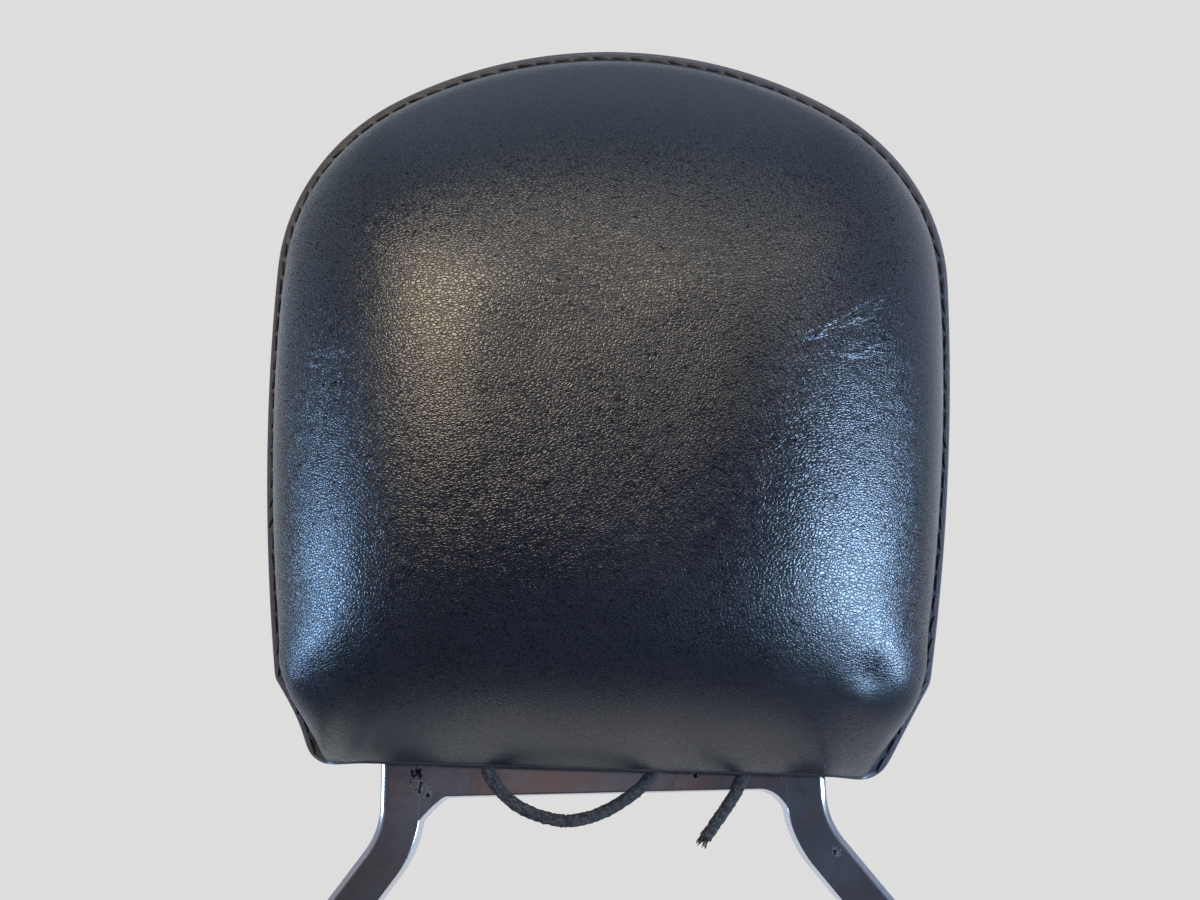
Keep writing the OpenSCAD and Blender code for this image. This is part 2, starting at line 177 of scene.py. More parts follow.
# %% [markdown]
# ## Turning arrays into pieces
# Every shape below is worked out as a whole numpy array of points in millimetres. This
# helper scales it to metres, joins the points into faces and lets the piece ride on the frame.


# %% Points and faces to a piece
def piece(name, points, faces, materials, slot=None, replaces=()):
    """A mesh from points in mm and a list of face arrays, each (n, 3) or (n, 4)."""
    mesh = bpy.data.meshes.new(name)
    faces = [np.asarray(f, dtype=np.int32) for f in (faces if isinstance(faces, list) else [faces])]
    corners = np.concatenate([f.ravel() for f in faces])
    sizes = np.concatenate([np.full(len(f), f.shape[1], dtype=np.int32) for f in faces])
    points = np.asarray(points, dtype=np.float32).reshape(-1, 3) * MM
    mesh.vertices.add(len(points))
    mesh.vertices.foreach_set("co", points.ravel())
    mesh.loops.add(len(corners))
    mesh.loops.foreach_set("vertex_index", corners)
    mesh.polygons.add(len(sizes))
    mesh.polygons.foreach_set("loop_start", (np.cumsum(sizes) - sizes).astype(np.int32))
    mesh.polygons.foreach_set("use_smooth", np.ones(len(sizes), bool))
    mesh.update(calc_edges=True)
    mesh.validate()
    for material in materials:
        mesh.materials.append(material)
    made = bpy.data.objects.new(name, mesh)
    bpy.context.scene.collection.objects.link(made)
    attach(made, "root")
    if replaces:
        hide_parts(*replaces)
    print(name, "has", len(points), "points and", len(sizes), "faces")
    return made


def grid(rows, columns, start=0, closed=True, flip=False):
    """Quads between the points of a grid stored row by row; closed joins last column to first."""
    r, c = np.meshgrid(np.arange(rows - 1), np.arange(columns - (not closed)), indexing="ij")
    r, c, d = r.ravel(), c.ravel(), (c.ravel() + 1) % columns
    low, high = start + r * columns, start + (r + 1) * columns
    quads = np.stack([low + c, low + d, high + d, high + c], 1)
    return quads[:, ::-1] if flip else quads


def fan(ring, tip, flip=False):
    """Triangles from a closed ring of point numbers to one point."""
    ring = np.asarray(ring)
    triangles = np.stack([ring, np.roll(ring, -1), np.full(len(ring), tip)], 1)
    return triangles[:, ::-1] if flip else triangles


def capped(rings, flip=False):
    """Points and faces of a row of rings, closed at both ends by a fan."""
    n, m = rings.shape[:2]
    points = np.concatenate([rings.reshape(-1, 3), rings[[0, -1]].mean(1)])
    return points, [grid(n, m, flip=flip), fan(np.arange(m), n * m, flip=not flip),
                    fan((n - 1) * m + np.arange(m), n * m + 1, flip=flip)]


def smoothstep(t):
    t = np.clip(t, 0, 1)
    return t * t * (3 - 2 * t)


def unit(v):
    return v / np.linalg.norm(v, axis=-1, keepdims=True)


# %% [markdown]
# ## The pad's outline
# Seen from the front, the real pad has a straight hem, two short slanting edges up to a
# kink, long sides that are almost straight, round shoulders and a flatter top. Lines and
# circles give all of it, and moving each of them inwards by the same distance gives an
# inset outline without any crossings, which a point-by-point offset would have at corners.
# The lower left corner of this pad was sewn a little longer than the right one.

# %% Outline
CROSSBAR_H, FRAME_TOP, LEG_OUTER = 167.0, 385.0, 68.7
BAR, BAR_X = 12.7, 62.35
HEM_H, TURN_H, PAD_TURN = 173.5, 206.0, 3.0
PAD_H, HALF_W = 259.0, 117.5
LOW_CORNER = {"right": (89.0, np.array([106.0, 31.0]), 0.2),
              "left": (91.2, np.array([104.8, 26.8]), 1.7)}
WIDEST_H, SHOULDER_R = 169.5, 78.5
SHOULDER_X, CREST = HALF_W - SHOULDER_R, PAD_H - WIDEST_H
TOP_R = (SHOULDER_X ** 2 + CREST ** 2 - SHOULDER_R ** 2) / (2 * (CREST - SHOULDER_R))
SHOULDER_END = math.atan2(WIDEST_H - (PAD_H - TOP_R), SHOULDER_X)
EASE_H, EASE_REACH = 150.0, 80.0
COUNTS = (56, 26, 90, 56, 44)
HALF = sum(COUNTS)
AROUND = 2 * HALF
FROM_MIDDLE = np.minimum(np.arange(AROUND), AROUND - np.arange(AROUND))
AT_HEM = FROM_MIDDLE < COUNTS[0]


def half_outline(inset, hem_share, half_hem, kink, hollow):
    """One half from the hem's middle to the top. Each line is moved inwards by the inset
    and each radius made smaller by it; the hem rises by a share of it only. The side's
    circle passes through the kink and stands upright at the widest height; the slanting
    edge is hollow by half a sine wave."""
    side_in = HALF_W - kink[0]
    side_r = (side_in ** 2 + (WIDEST_H - kink[1]) ** 2) / (2 * side_in)
    rise, along = inset * hem_share, unit(kink - [half_hem, 0])
    corner = np.array([half_hem - (inset - along[0] * rise) / along[1], rise])
    centre, radius = np.array([HALF_W - side_r, WIDEST_H]), side_r - inset
    gap = corner - centre
    reach = -gap @ along + math.sqrt((gap @ along) ** 2 - gap @ gap + radius ** 2)
    kink = corner + reach * along
    low = math.atan2(*(kink - centre)[::-1])
    t = np.linspace(0, 1, COUNTS[1], endpoint=False)
    sag = hollow * np.sin(math.pi * t ** 0.8)[:, None] * [-along[1], along[0]]

    def arc(middle, r, a, b, n):
        t = np.linspace(a, b, n, endpoint=False)
        return np.stack([middle[0] + r * np.cos(t), middle[1] + r * np.sin(t)], 1)

    def line(a, b, n):
        return a + np.linspace(0, 1, n, endpoint=False)[:, None] * (np.asarray(b) - a)

    return np.concatenate([
        line(np.array([0, rise]), corner, COUNTS[0]), line(corner, kink, COUNTS[1]) + sag,
        arc(centre, radius, low, 0, COUNTS[2]),
        arc((SHOULDER_X, WIDEST_H), SHOULDER_R - inset, 0, SHOULDER_END, COUNTS[3]),
        arc((0, PAD_H - TOP_R), TOP_R - inset, SHOULDER_END, math.pi / 2, COUNTS[4]),
        [[0, PAD_H - inset]]])


def pad_outline(inset, hem_share=0.15):
    """The whole closed outline, anticlockwise from the hem's middle."""
    right, left = (half_outline(inset, hem_share, *LOW_CORNER[side]) for side in ("right", "left"))
    return np.concatenate([right, (left * [-1, 1])[-2:0:-1]])


def eased_outline(inset, more, hem_share=0.15):
    """An outline whose inset grows by some more round the top of the pad."""
    near = pad_outline(inset, hem_share)
    far = pad_outline(inset + more, hem_share * inset / max(inset + more, 0.1))
    return near + smoothstep((near[:, 1:] - EASE_H) / EASE_REACH) * (far - near)


def blurred(values, reach):
    """Mean of each point's neighbours within a reach in mm along the closed raw edge."""
    edge = pad_outline(0)
    step = np.linalg.norm(np.roll(edge, -1, 0) - edge, axis=1)
    place = np.concatenate([[0], np.cumsum(step)])
    looped = [np.concatenate([c, c[:1]]) for c in values.T]
    even = np.linspace(0, place[-1], 1024, endpoint=False)
    width = max(1, int(reach / place[-1] * 1024))
    kernel = np.hanning(2 * width + 3)[1:-1]
    kernel /= kernel.sum()
    out = []
    for column in looped:
        drawn = np.interp(even, place, column)
        padded = np.concatenate([drawn[-width:], drawn, drawn[:width]])
        soft = np.convolve(padded, kernel, "valid")
        out.append(np.interp(place[:-1], np.append(even, place[-1]), np.append(soft, soft[0])))
    return np.stack(out, 1)


def sewn_outline(inset, hem_share=0.15, more=0.0):
    """An outline with softened corners; the two at the hem's ends are cut rounder."""
    edge = eased_outline(inset, more, hem_share)
    crisp, rounder = blurred(edge, 2.5), blurred(edge, 13)
    return crisp + np.exp(-((FROM_MIDDLE - COUNTS[0]) / 9) ** 2)[:, None] * (rounder - crisp)


print("outline of", AROUND, "points, top radius", round(TOP_R, 1), "mm")

# %% [markdown]
# ## The crown of the pad
# Foam and leather swell forward from the seam like a loaf: steep walls at the sides and the
# hem, a flat belly, and a rounder slope towards the top. Each ring of the surface is a
# superellipse, whose power sinks from 3.6 at the sides to 2.2 at the top. Along the two
# slanting edges the foam is thick and hangs over the seam.

# %% Crown surface
SEAM_Y, HEM_Y, CROWN_Y, CROWN_H, TOP_FALL = 4.35, -13.55, -59.35, 112.0, 26.0
HEM_CORNER_X = 87.0
SIDE_POWER, TOP_POWER = 3.6, 2.2
FLANGE, HEM_LIP, SIDE_BULGE, SLANT_BULGE, TOP_INSET = 4.5, 0.7, 0.4, 6.8, 2.2
FOOT_S = 0.36
FLANGE_STEPS = np.array([0.0, 0.5, 1.2, 1.8, 2.4, 3.0, 3.6, 4.1])
BELLY = np.sqrt(1 - np.linspace(0.70, 0.02, 26) ** SIDE_POWER)
RISES = np.concatenate([np.sin(np.radians(np.linspace(0, 55, 34))), BELLY])


def edge_depth(edge):
    """Depth of each point of an outline: the seam's plane, but in front of the bars along
    the hem, with a smooth lift towards the hem's corners."""
    lift = smoothstep((np.abs(edge[:, 0]) - LEG_OUTER) / (HEM_CORNER_X - LEG_OUTER))
    return blurred(np.where(AT_HEM, HEM_Y + (SEAM_Y - HEM_Y) * lift, SEAM_Y)[:, None], 3)[:, 0]


def crown_depth(h):
    """Depth of the belly at height h: level, then falling back with the square of h."""
    return CROWN_Y + TOP_FALL * (np.maximum(h - CROWN_H, 0) / (PAD_H - CROWN_H)) ** 2


def slant_share():
    """1 along the slanting edges of the outline and 0 elsewhere, with soft ends."""
    share = np.zeros(AROUND)
    share[COUNTS[0] + 4:COUNTS[0] + COUNTS[1]] = 1
    return blurred(np.maximum(share, np.roll(share[::-1], 1))[:, None], 23)[:, 0]


def crown_surface(sink=0.0, start=FLANGE, from_y=None, hem_rise=HEM_LIP):
    """Rings of points (x, depth, h). A ring rises by s and shrinks by (1 - s^2)^(1 / power)
    towards the pad's middle, while its outline and its foot's depth ease from the seam's to
    blurred ones. Along the hem the wall's foot is straightened: there r follows the tangent
    of the superellipse at s = 0.36, and the edge is a small lip. Given from_y, only the part
    in front of that depth is made, without the flat edge."""
    hem = blurred(AT_HEM.astype(float)[:, None], 3)[:, 0]
    rings = []
    for d in FLANGE_STEPS if from_y is None else []:
        turn = d / FLANGE * math.pi / 2
        edge = sewn_outline(d, HEM_LIP * math.sin(turn) / max(d, 0.1))
        depth = edge_depth(edge) + sink - HEM_LIP * (1 - math.cos(turn)) * hem
        rings.append(np.stack([edge[:, 0], depth, edge[:, 1]], 1))
    seam = eased_outline(start, TOP_INSET, hem_rise / start)
    foot, round_foot, soft = (blurred(seam, reach) for reach in (4, 34, 110))
    depth = edge_depth(foot) + sink - HEM_LIP * hem
    soft_depth, wide_hem = (blurred(c[:, None], n)[:, 0] for c, n in ((depth, 110), (hem, 70)))
    outward = unit(foot - blurred(pad_outline(start + 6, hem_rise / start), 4))
    side_share = (1 - smoothstep((foot[:, 1] - EASE_H) / 60)) * (1 - hem)
    bulge_out = SIDE_BULGE * side_share + SLANT_BULGE * slant_share()
    power = SIDE_POWER + (TOP_POWER - SIDE_POWER) * smoothstep((foot[:, 1] - WIDEST_H) / CREST)
    base = 0 if from_y is None else (depth - from_y) / (depth - crown_depth(foot[:, 1]) - sink)
    at = (1 - FOOT_S ** 2) ** (1 / SIDE_POWER)
    slope = 2 * FOOT_S / SIDE_POWER * at / (1 - FOOT_S ** 2)
    for rise in RISES:
        s = np.reshape(base + (1 - base) * rise, (-1, 1))
        r = (1 - s * s) ** (1 / power[:, None])
        straight = np.where(s < FOOT_S, at + slope * (FOOT_S - s), r) / (at + slope * FOOT_S)
        r = r + wide_hem[:, None] * (straight - r)
        q = foot + smoothstep(s / 0.6) * (round_foot - foot) + s ** 2 * (soft - round_foot)
        q = q + outward * bulge_out[:, None] * np.sin(math.pi * s ** 0.8) ** 2
        r, s = r[:, 0], s[:, 0]
        h = CROWN_H + r * (q[:, 1] - CROWN_H)
        back = depth + smoothstep(s / 0.7) * (soft_depth - depth)
        rings.append(np.stack([r * q[:, 0], back + s * (crown_depth(h) + sink - back), h], 1))
    return np.array(rings)


def calmed(rings, count=18):
    """The innermost rings eased onto the quadric that fits them best, so that the fine
    columns that meet at the pole leave no star there."""
    x, y, h = np.moveaxis(rings[-count:], -1, 0)
    terms = np.stack([np.ones_like(x), x, h, x * x, x * h, h * h], -1)
    fit = np.linalg.lstsq(terms.reshape(-1, 6), y.ravel(), rcond=None)[0]
    share = smoothstep(np.linspace(0, 1.4, count))[:, None]
    out = rings.copy()
    out[-count:, :, 1] += share * (terms @ fit - y)
    return out


def on_pad(points):
    """From pad coordinates to the frame: up by the hem's height, then turned by 3 degrees."""
    x, y, z = np.moveaxis(np.asarray(points, float), -1, 0)
    c, s, z = math.cos(math.radians(PAD_TURN)), math.sin(math.radians(PAD_TURN)), z + HEM_H - TURN_H
    return np.stack([c * x + s * z, y, TURN_H - s * x + c * z], -1)


crown = crown_surface()
ROWS = len(crown)
print("crown of", crown.shape[:2], "points, front at", round(crown[..., 1].min(), 1), "mm")

# %% [markdown]
# ## Stuffing the pad
# Leather that is drawn over foam swells between its seams. Blender's Cloth, with a little
# pressure and no gravity, gives that swelling: a coarse copy of the pad is blown up while its
# sewn edge is held, and how far each point moved is then added to the fine surface.

# %% Cloth simulation
COARSE, TRIAL_SCALE, TRIAL_FRAMES = 4, 10, 20
SWELL_CAP, SWELL_SHARE = 4.0, 0.8


def swelling(rings):
    """How far each point of a coarse closed copy moves under pressure, spread back over the
    fine grid by linear interpolation between its rows and columns."""
    rows = np.unique(np.append(np.arange(0, ROWS, 2), ROWS - 1))
    columns = np.arange(0, AROUND, COARSE)
    start = rings[rows][:, columns]
    wide, high = len(columns), len(rows)
    back = start[0] + [0, 3, 0]
    tip, tail = rings[-1].mean(0), back.mean(0)
    points = np.concatenate([start.reshape(-1, 3), back, [tip, tail]])
    total, edge = high * wide, np.arange(wide)
    faces = [grid(high, wide), fan(total - wide + edge, total + wide),
             np.stack([np.roll(edge, -1), edge, total + edge, np.roll(total + edge, -1)], 1),
             fan(total + edge, total + wide + 1, flip=True)]
    trial = piece("swelling_trial", points * TRIAL_SCALE, faces, [])
    held = trial.vertex_groups.new(name="held")
    held.add([*range(4 * wide), *range(total, total + wide + 2)], 1.0, "REPLACE")
    cloth = trial.modifiers.new("cloth", "CLOTH")
    settings = cloth.settings
    settings.vertex_group_mass = "held"
    settings.quality = 8
    settings.mass = 0.4
    settings.tension_stiffness = settings.compression_stiffness = 40
    settings.shear_stiffness = 20
    settings.bending_stiffness = 8
    settings.use_pressure = True
    settings.uniform_pressure_force = 4.0
    settings.effector_weights.gravity = 0
    scene = bpy.context.scene
    for step in range(1, TRIAL_FRAMES + 1):
        scene.frame_set(step)
    shape = trial.evaluated_get(bpy.context.evaluated_depsgraph_get())
    moved = np.empty(len(points) * 3, np.float32)
    shape.data.vertices.foreach_get("co", moved)
    moved = moved.reshape(-1, 3) / MM / TRIAL_SCALE - points
    scene.frame_set(1)
    bpy.data.objects.remove(trial)
    moved = moved[:total].reshape(high, wide, 3)
    far = np.linalg.norm(moved, axis=2)
    print("swelling, mm: mean", round(float(far.mean()), 2), "most", round(float(far.max()), 2))
    moved *= np.minimum(1, SWELL_CAP / np.maximum(far, 1e-6))[..., None]
    across = np.concatenate([moved, moved[:, :1]], 1)
    spots = np.append(columns, AROUND)
    wide_rows = np.stack([[np.interp(np.arange(AROUND), spots, row[:, k]) for k in range(3)]
                          for row in across])
    return np.stack([[np.interp(np.arange(ROWS), rows, wide_rows[:, k, u]) for k in range(3)]
                     for u in range(AROUND)], 1).transpose(2, 1, 0)


swell = swelling(crown)

# %% [markdown]
# ## Black leather
# The real cover is thick, worn cowhide with a satin shine. Its grain is a net of shallow
# creases around pebbles under a millimetre wide, drawn out a little sideways. Cell noise
# gives the pebbles, warped noise bends them, and finer noise breaks up the shine. The grain
# fades where the leather is stretched tight, at the hem, the top and the sides. The creases
# are darkened with painted shade, in the colour and by a near-black shader mixed in.

# %% Leather finishes
WRINKLES = [(86, 307, 14, 4.0, 30), (82, 293, 10, 3, 14), (69, 298, 10, 2.5, 24),
            (-81, 297, 9, 4.0, -6)]


def drawn_lines(tree, x, z, spot):
    """Fine folds round a spot: noise that is drawn out along a heading, inside an ellipse."""
    cx, cz, half_long, half_wide, turn = spot
    c, s = math.cos(math.radians(turn)), math.sin(math.radians(turn))
    along, across = (x - cx) * c + (z - cz) * s, (z - cz) * c - (x - cx) * s
    point = node(tree, "CombineXYZ", {}, {0: along * 0.11, 2: across})
    inside = ((along / half_long) ** 2.0 + (across / half_wide) ** 2.0).rise(1.0, 0.1)
    return noise(tree, point, 0.8, 2.0, 0.5, 0.2).rise(0.50, 0.62) * inside


def leather_sockets(tree, dark, light, deep):
    """Grain, wrinkles and shine; deep says how strongly painted shade darkens the creases."""
    here = place(tree)
    x, z = (node(tree, "SeparateXYZ", {}, {0: here}, out=k) for k in (0, 2))
    stretched = place(tree, (0.66, 1, 1))
    drift = noise(tree, stretched, 0.22, 2.0, out=1)
    bent = node(tree, "VectorMath", {"operation": "MULTIPLY_ADD"},
                {0: drift, 1: (2.0, 2.0, 2.0), 2: stretched})
    edge = cells(tree, bent, 1.15, "DISTANCE_TO_EDGE")
    pebbles = edge.rise(0.0, 0.3)
    small = cells(tree, bent, 2.8, "F1").rise(0.7, 0.0)
    slack = z.rise(182, 210) * z.rise(402, 340) * x.math("ABSOLUTE", x).rise(112, 94)
    slack = slack * 0.75 + 0.25
    creases = noise(tree, place(tree, (0.4, 1, 1), 4.0), 0.30, 3.0, 0.6, 1.2)
    broad = noise(tree, here, 0.03, 3.0, 0.55)
    height = (pebbles * 0.8 + small * 0.3) * slack + creases * 1.2
    for spot in WRINKLES:
        height = height + drawn_lines(tree, x, z, spot) * 4.5
    patches = noise(tree, here, 0.012, 2.0)
    colour = mix(tree, patches.rise(0.35, 0.68), dark, light)
    # Painted shade: the colour darkens in the creases between the pebbles.
    colour = mix(tree, (1 - pebbles) * 0.4, colour, (0.003, 0.003, 0.004))
    rough = 0.20 + (creases - 0.5) * 0.12 + (broad - 0.5) * 0.16 + (1 - pebbles) * 0.12
    rough = rough + z.rise(236, 206) * 0.07
    # gap is painted shade in the narrow creases, through the near-black shader that finish mixes in.
    return {"Base Color": colour, "Roughness": rough, "Normal": bump(tree, height, 0.058), "IOR": 1.75,
            "gap": edge.rise(0.13, 0.0) * slack * deep}


# The last number is how strongly painted shade darkens the creases of each leather.
cover_finish = finish("cover_leather", lambda tree: leather_sockets(
    tree, (0.003, 0.005, 0.011), (0.004, 0.006, 0.010), 0.85))
back_finish = finish("back_leather", lambda tree: leather_sockets(
    tree, (0.006, 0.006, 0.008), (0.010, 0.009, 0.010), 0.3))
flesh_finish = finish("leather_flesh_side", lambda tree: {
    "Base Color": mix(tree, noise(tree, place(tree), 0.6, 5.0),
                      (0.045, 0.035, 0.03), (0.09, 0.07, 0.055)),
    "Roughness": 0.92,
    "Normal": bump(tree, noise(tree, place(tree), 1.8, 6.0, 0.7), 0.25)})
seam_finish = finish("leather_at_seam", lambda tree: {
    "Base Color": mix(tree, noise(tree, place(tree), 0.3, 3.0),
                      (0.009, 0.011, 0.014), (0.018, 0.019, 0.025)),
    "Roughness": 0.5,
    "Normal": bump(tree, noise(tree, place(tree), 0.9, 4.0, 0.6), 0.12)})
edge_finish = finish("leather_cut_edge", lambda tree: {
    "Base Color": mix(tree, noise(tree, place(tree), 0.5, 4.0),
                      (0.038, 0.034, 0.041), (0.088, 0.077, 0.092)),
    "Roughness": 0.75, "Specular IOR Level": 0.3,
    "Normal": bump(tree, noise(tree, place(tree), 2.2, 5.0, 0.7), 0.2)})

# %% [markdown]
# ## The leather front
# The swelling is added to the crown, then the marks of use: the hem is drawn in where the
# lace leaves it, the seam is pulled down at every stitch, and a shallow dent and some
# drawn folds lie near the lower corners. Solidify then gives the leather its 2 mm.

# %% Stitch places
STITCH_PITCH, STITCH_LEN, STITCH_INSET, THREAD_D = 7.0, 6.3, 2.0, 1.0
LEATHER = 2.0


def stitch_places():
    """Centre, heading and outline position of each stitch, walked at an even pitch along the
    seam from one hem corner round to the other. It runs further in round the top."""
    line = sewn_outline(STITCH_INSET - 0.5, more=1.2)
    seam = np.arange(COUNTS[0], AROUND - COUNTS[0] + 1)
    run = line[seam]
    walked = np.concatenate([[0], np.cumsum(np.linalg.norm(np.diff(run, axis=0), axis=1))])
    count = int(walked[-1] // STITCH_PITCH)
    at = (walked[-1] - (count - 1) * STITCH_PITCH) / 2 + np.arange(count) * STITCH_PITCH
    middle = np.stack([np.interp(at, walked, run[:, k]) for k in (0, 1)], 1)
    ahead = np.stack([np.interp(at + 1, walked, run[:, k]) for k in (0, 1)], 1)
    return middle, unit(ahead - middle), np.interp(at, walked, seam)


stitch_middle, stitch_heading, stitch_column = stitch_places()
print(len(stitch_middle), "stitches on each face of the seam")

# %% Wear of the front
# Each mark: x, height above the hem, half width, half height, turn, depth
MARKS = [(-29, 3, 12, 9, 0, 2.0), (20, 2, 11, 9, 0, 1.6), (46, 3, 10, 8, 0, 1.2),
         (80, 28, 6, 5, 40, 1.2), (74, 22, 6, 5, 0, -0.7), (92, 20, 12, 4, 62, 0.7),
         (-86, 24, 9, 5, -50, 1.0), (78, 148, 26, 9, 25, 0.5), (-10, 62, 60, 22, 4, 0.7)]


def bulge(points, x, h, wide, high, turned=0.0):
    """A soft round hill of height 1 at (x, h) on the pad, with its widths in mm."""
    c, s = math.cos(math.radians(turned)), math.sin(math.radians(turned))
    dx, dh = points[..., 0] - x, points[..., 2] - h
    a, b = (c * dx + s * dh) / wide, (-s * dx + c * dh) / high
    return np.exp(-(a * a + b * b))


def worn(rings):
    """The crown with its hem drawn in at the lace, a dent and some folds at the corners."""
    out = rings.copy()
    wall = np.clip((rings[..., 1] - SEAM_Y) / (HEM_Y - SEAM_Y), 0, 1)
    for x, h, wide, high, turned, deep in MARKS:
        out[..., 1] += wall * deep * bulge(rings, x, h, wide, high, turned)
    return out


pulled = np.zeros(AROUND)
column = np.arange(AROUND)
for spot in stitch_column:
    pulled = np.maximum(pulled, np.exp(-((column - spot) / 1.7) ** 2))
front_points = calmed(worn(crown + SWELL_SHARE * swell))
EDGE_ROWS, seam_rows = 2, len(FLANGE_STEPS)
near_seam = np.exp(-((FLANGE_STEPS - STITCH_INSET) / 1.1) ** 2)
front_points[:seam_rows, :, 1] += 0.28 * near_seam[:, None] * pulled
front_points[:seam_rows, :, 1] -= 0.10 * (1 - pulled) * near_seam[:, None]

tip = front_points[-1].mean(0)
front = piece("leather_front", np.concatenate([on_pad(front_points).reshape(-1, 3), on_pad(tip)[None]]),
              [grid(ROWS, AROUND), fan((ROWS - 1) * AROUND + np.arange(AROUND), ROWS * AROUND)],
              [cover_finish, flesh_finish, edge_finish, seam_finish, flesh_finish, edge_finish,
               edge_finish, flesh_finish, edge_finish], "cover_leather", ["cover_front"])
sewn = (column > COUNTS[0] - 3) & (column < AROUND - COUNTS[0] + 2)
at_seam = np.zeros(len(front.data.polygons), np.int32)
at_seam[:seam_rows * AROUND] = np.tile(3 * sewn, seam_rows)
at_seam[:EDGE_ROWS * AROUND] = np.tile(6 * sewn, EDGE_ROWS)
front.data.polygons.foreach_set("material_index", at_seam)
thick = front.modifiers.new("thickness", "SOLIDIFY")
thick.thickness, thick.offset = LEATHER * MM, -1
thick.material_offset, thick.material_offset_rim = 1, 2
thick.use_even_offset = False

# %% [markdown]
# ## Stitches
# The seam is sewn with thick waxed thread, which shows as short dark bars, one to each
# hole, on the front and again on the back. One capsule is worked out as a small grid, bent
# down into the leather at both ends, and its copies are set along the seam as one array.

# %% Thread
thread_finish = finish("waxed_thread", lambda tree: {
    "Base Color": mix(tree, noise(tree, place(tree), 0.8, 3.0),
                      (0.003, 0.003, 0.004), (0.010, 0.010, 0.012)),
    "Roughness": 0.6,
    "Normal": bump(tree, noise(tree, place(tree), 3.0, 3.0), 0.12)})


def capsules(face_y, outward):
    """Points of every stitch: rings round a short line, whose radius follows a half circle
    at its ends and whose middle line sinks into the leather there."""
    along = np.array([-1, -0.93, -0.78, -0.5, 0, 0.5, 0.78, 0.93, 1]) * STITCH_LEN / 2
    t = np.abs(along) / (STITCH_LEN / 2)
    radius = THREAD_D * 0.55 * np.sqrt(np.clip(1 - t ** 5, 0.0004, 1))
    sink = -0.45 * t ** 5
    a = np.linspace(0, 2 * math.pi, 8, endpoint=False)
    side = radius[:, None] * np.cos(a)
    up = radius[:, None] * np.sin(a) + (sink + 0.22)[:, None]
    wobble = rng.normal(0, 1, (len(stitch_middle), 3)) * [0.09, 0.12, 0.05]
    across = stitch_heading[:, ::-1] * [-1, 1]
    lean = unit(stitch_heading + across * wobble[:, 1:2])
    across = lean[:, ::-1] * [-1, 1]
    middle = stitch_middle + across * wobble[:, :1]
    flat = (middle[:, None, None] + lean[:, None, None] * along[None, :, None, None]
            + across[:, None, None] * side[None, :, :, None])
    depth = face_y + outward * (up[None] + wobble[:, 2][:, None, None])
    depth = np.broadcast_to(depth, flat.shape[:3])
    return np.stack([flat[..., 0], depth, flat[..., 1]], -1)


def capsule_faces(count, rings=9, sides=8):
    starts = np.arange(count) * rings * sides
    return (grid(rings, sides)[None] + starts[:, None, None]).reshape(-1, 4)


stitch_faces = capsule_faces(len(stitch_middle))
front_bars = capsules(SEAM_Y + 0.2, -1)
back_bars = capsules(8.1, 1)
bars = np.concatenate([front_bars, back_bars])
thread = piece("seam_stitches", on_pad(bars).reshape(-1, 3),
               [stitch_faces, stitch_faces[:, ::-1] + front_bars[..., 0].size],
               [thread_finish], "thread", ["seam_thread"])

# %% [markdown]
# ## The back panel
# The back is one flat piece of the same leather, sewn to the front round its edge and open
# at the hem, where the bars come out. A lace runs through a hole and two slots in it. Its
# outline is filled by rings that shrink to a point, and the slots are then cut out.

# %% Back panel
BACK_Y, FILL_RINGS = 8.35, 44
SLOTS = [(-36, 0), (20.5, 4), (41.5, 4)]
SLOT_H, SLOT_R = 189.0, 2.5


def back_rings():
    """Rings at growing insets, rounded over at the edge and bowed in a little over the bars."""
    insets = np.array([0.0, 0.15, 0.5, 1.2, 1.8, 2.4, 3.0, 3.8, 5, 7])
    round_over = 0.5 * np.clip(1 - insets / 0.5, 0, 1) ** 2
    rings = [sewn_outline(d) for d in insets]
    middle = np.array([0, CROWN_H])
    inner = rings[-1] - middle
    rings = np.array(rings + [middle + inner * k for k in np.linspace(0.96, 0.02, FILL_RINGS)])
    hem = blurred(AT_HEM.astype(float)[:, None], 6)[:, 0]
    rings[..., 1] += 1.5 * hem * np.clip(1 - rings[..., 1] / 30, 0, 1)
    sunk = np.concatenate([round_over, np.zeros(FILL_RINGS)])
    y = np.full(rings.shape[:2], BACK_Y) - sunk[:, None]
    x, h = rings[..., 0], rings[..., 1]
    between = np.exp(-((np.abs(x) - BAR_X) / 12) ** 2)
    y -= 0.5 * np.clip(1 - between, 0, 1) * smoothstep((h - 2) / 40) * smoothstep((PAD_H - 12 - h) / 40)
    pull = np.exp(-((insets - STITCH_INSET) / 1.1) ** 2)
    y[:len(insets)] -= 0.25 * pull[:, None] * pulled
    return np.stack([x, y, h], -1)


back_points = back_rings()
rows = len(back_points)
back = piece("leather_back", np.concatenate([on_pad(back_points).reshape(-1, 3),
                                             on_pad(back_points[-1].mean(0))[None]]),
             [grid(rows, AROUND, flip=True),
              fan((rows - 1) * AROUND + np.arange(AROUND), rows * AROUND, flip=True)],
             [back_finish, flesh_finish, edge_finish], "back_leather", ["cover_back"])
thick = back.modifiers.new("thickness", "SOLIDIFY")
thick.thickness, thick.offset = LEATHER * MM, -1
thick.material_offset, thick.material_offset_rim = 1, 2


def apply_modifiers(thing):
    """The mesh as its modifiers leave it becomes the piece's own mesh."""
    shape = thing.evaluated_get(bpy.context.evaluated_depsgraph_get())
    mesh = bpy.data.meshes.new_from_object(shape)
    thing.modifiers.clear()
    thing.data = mesh


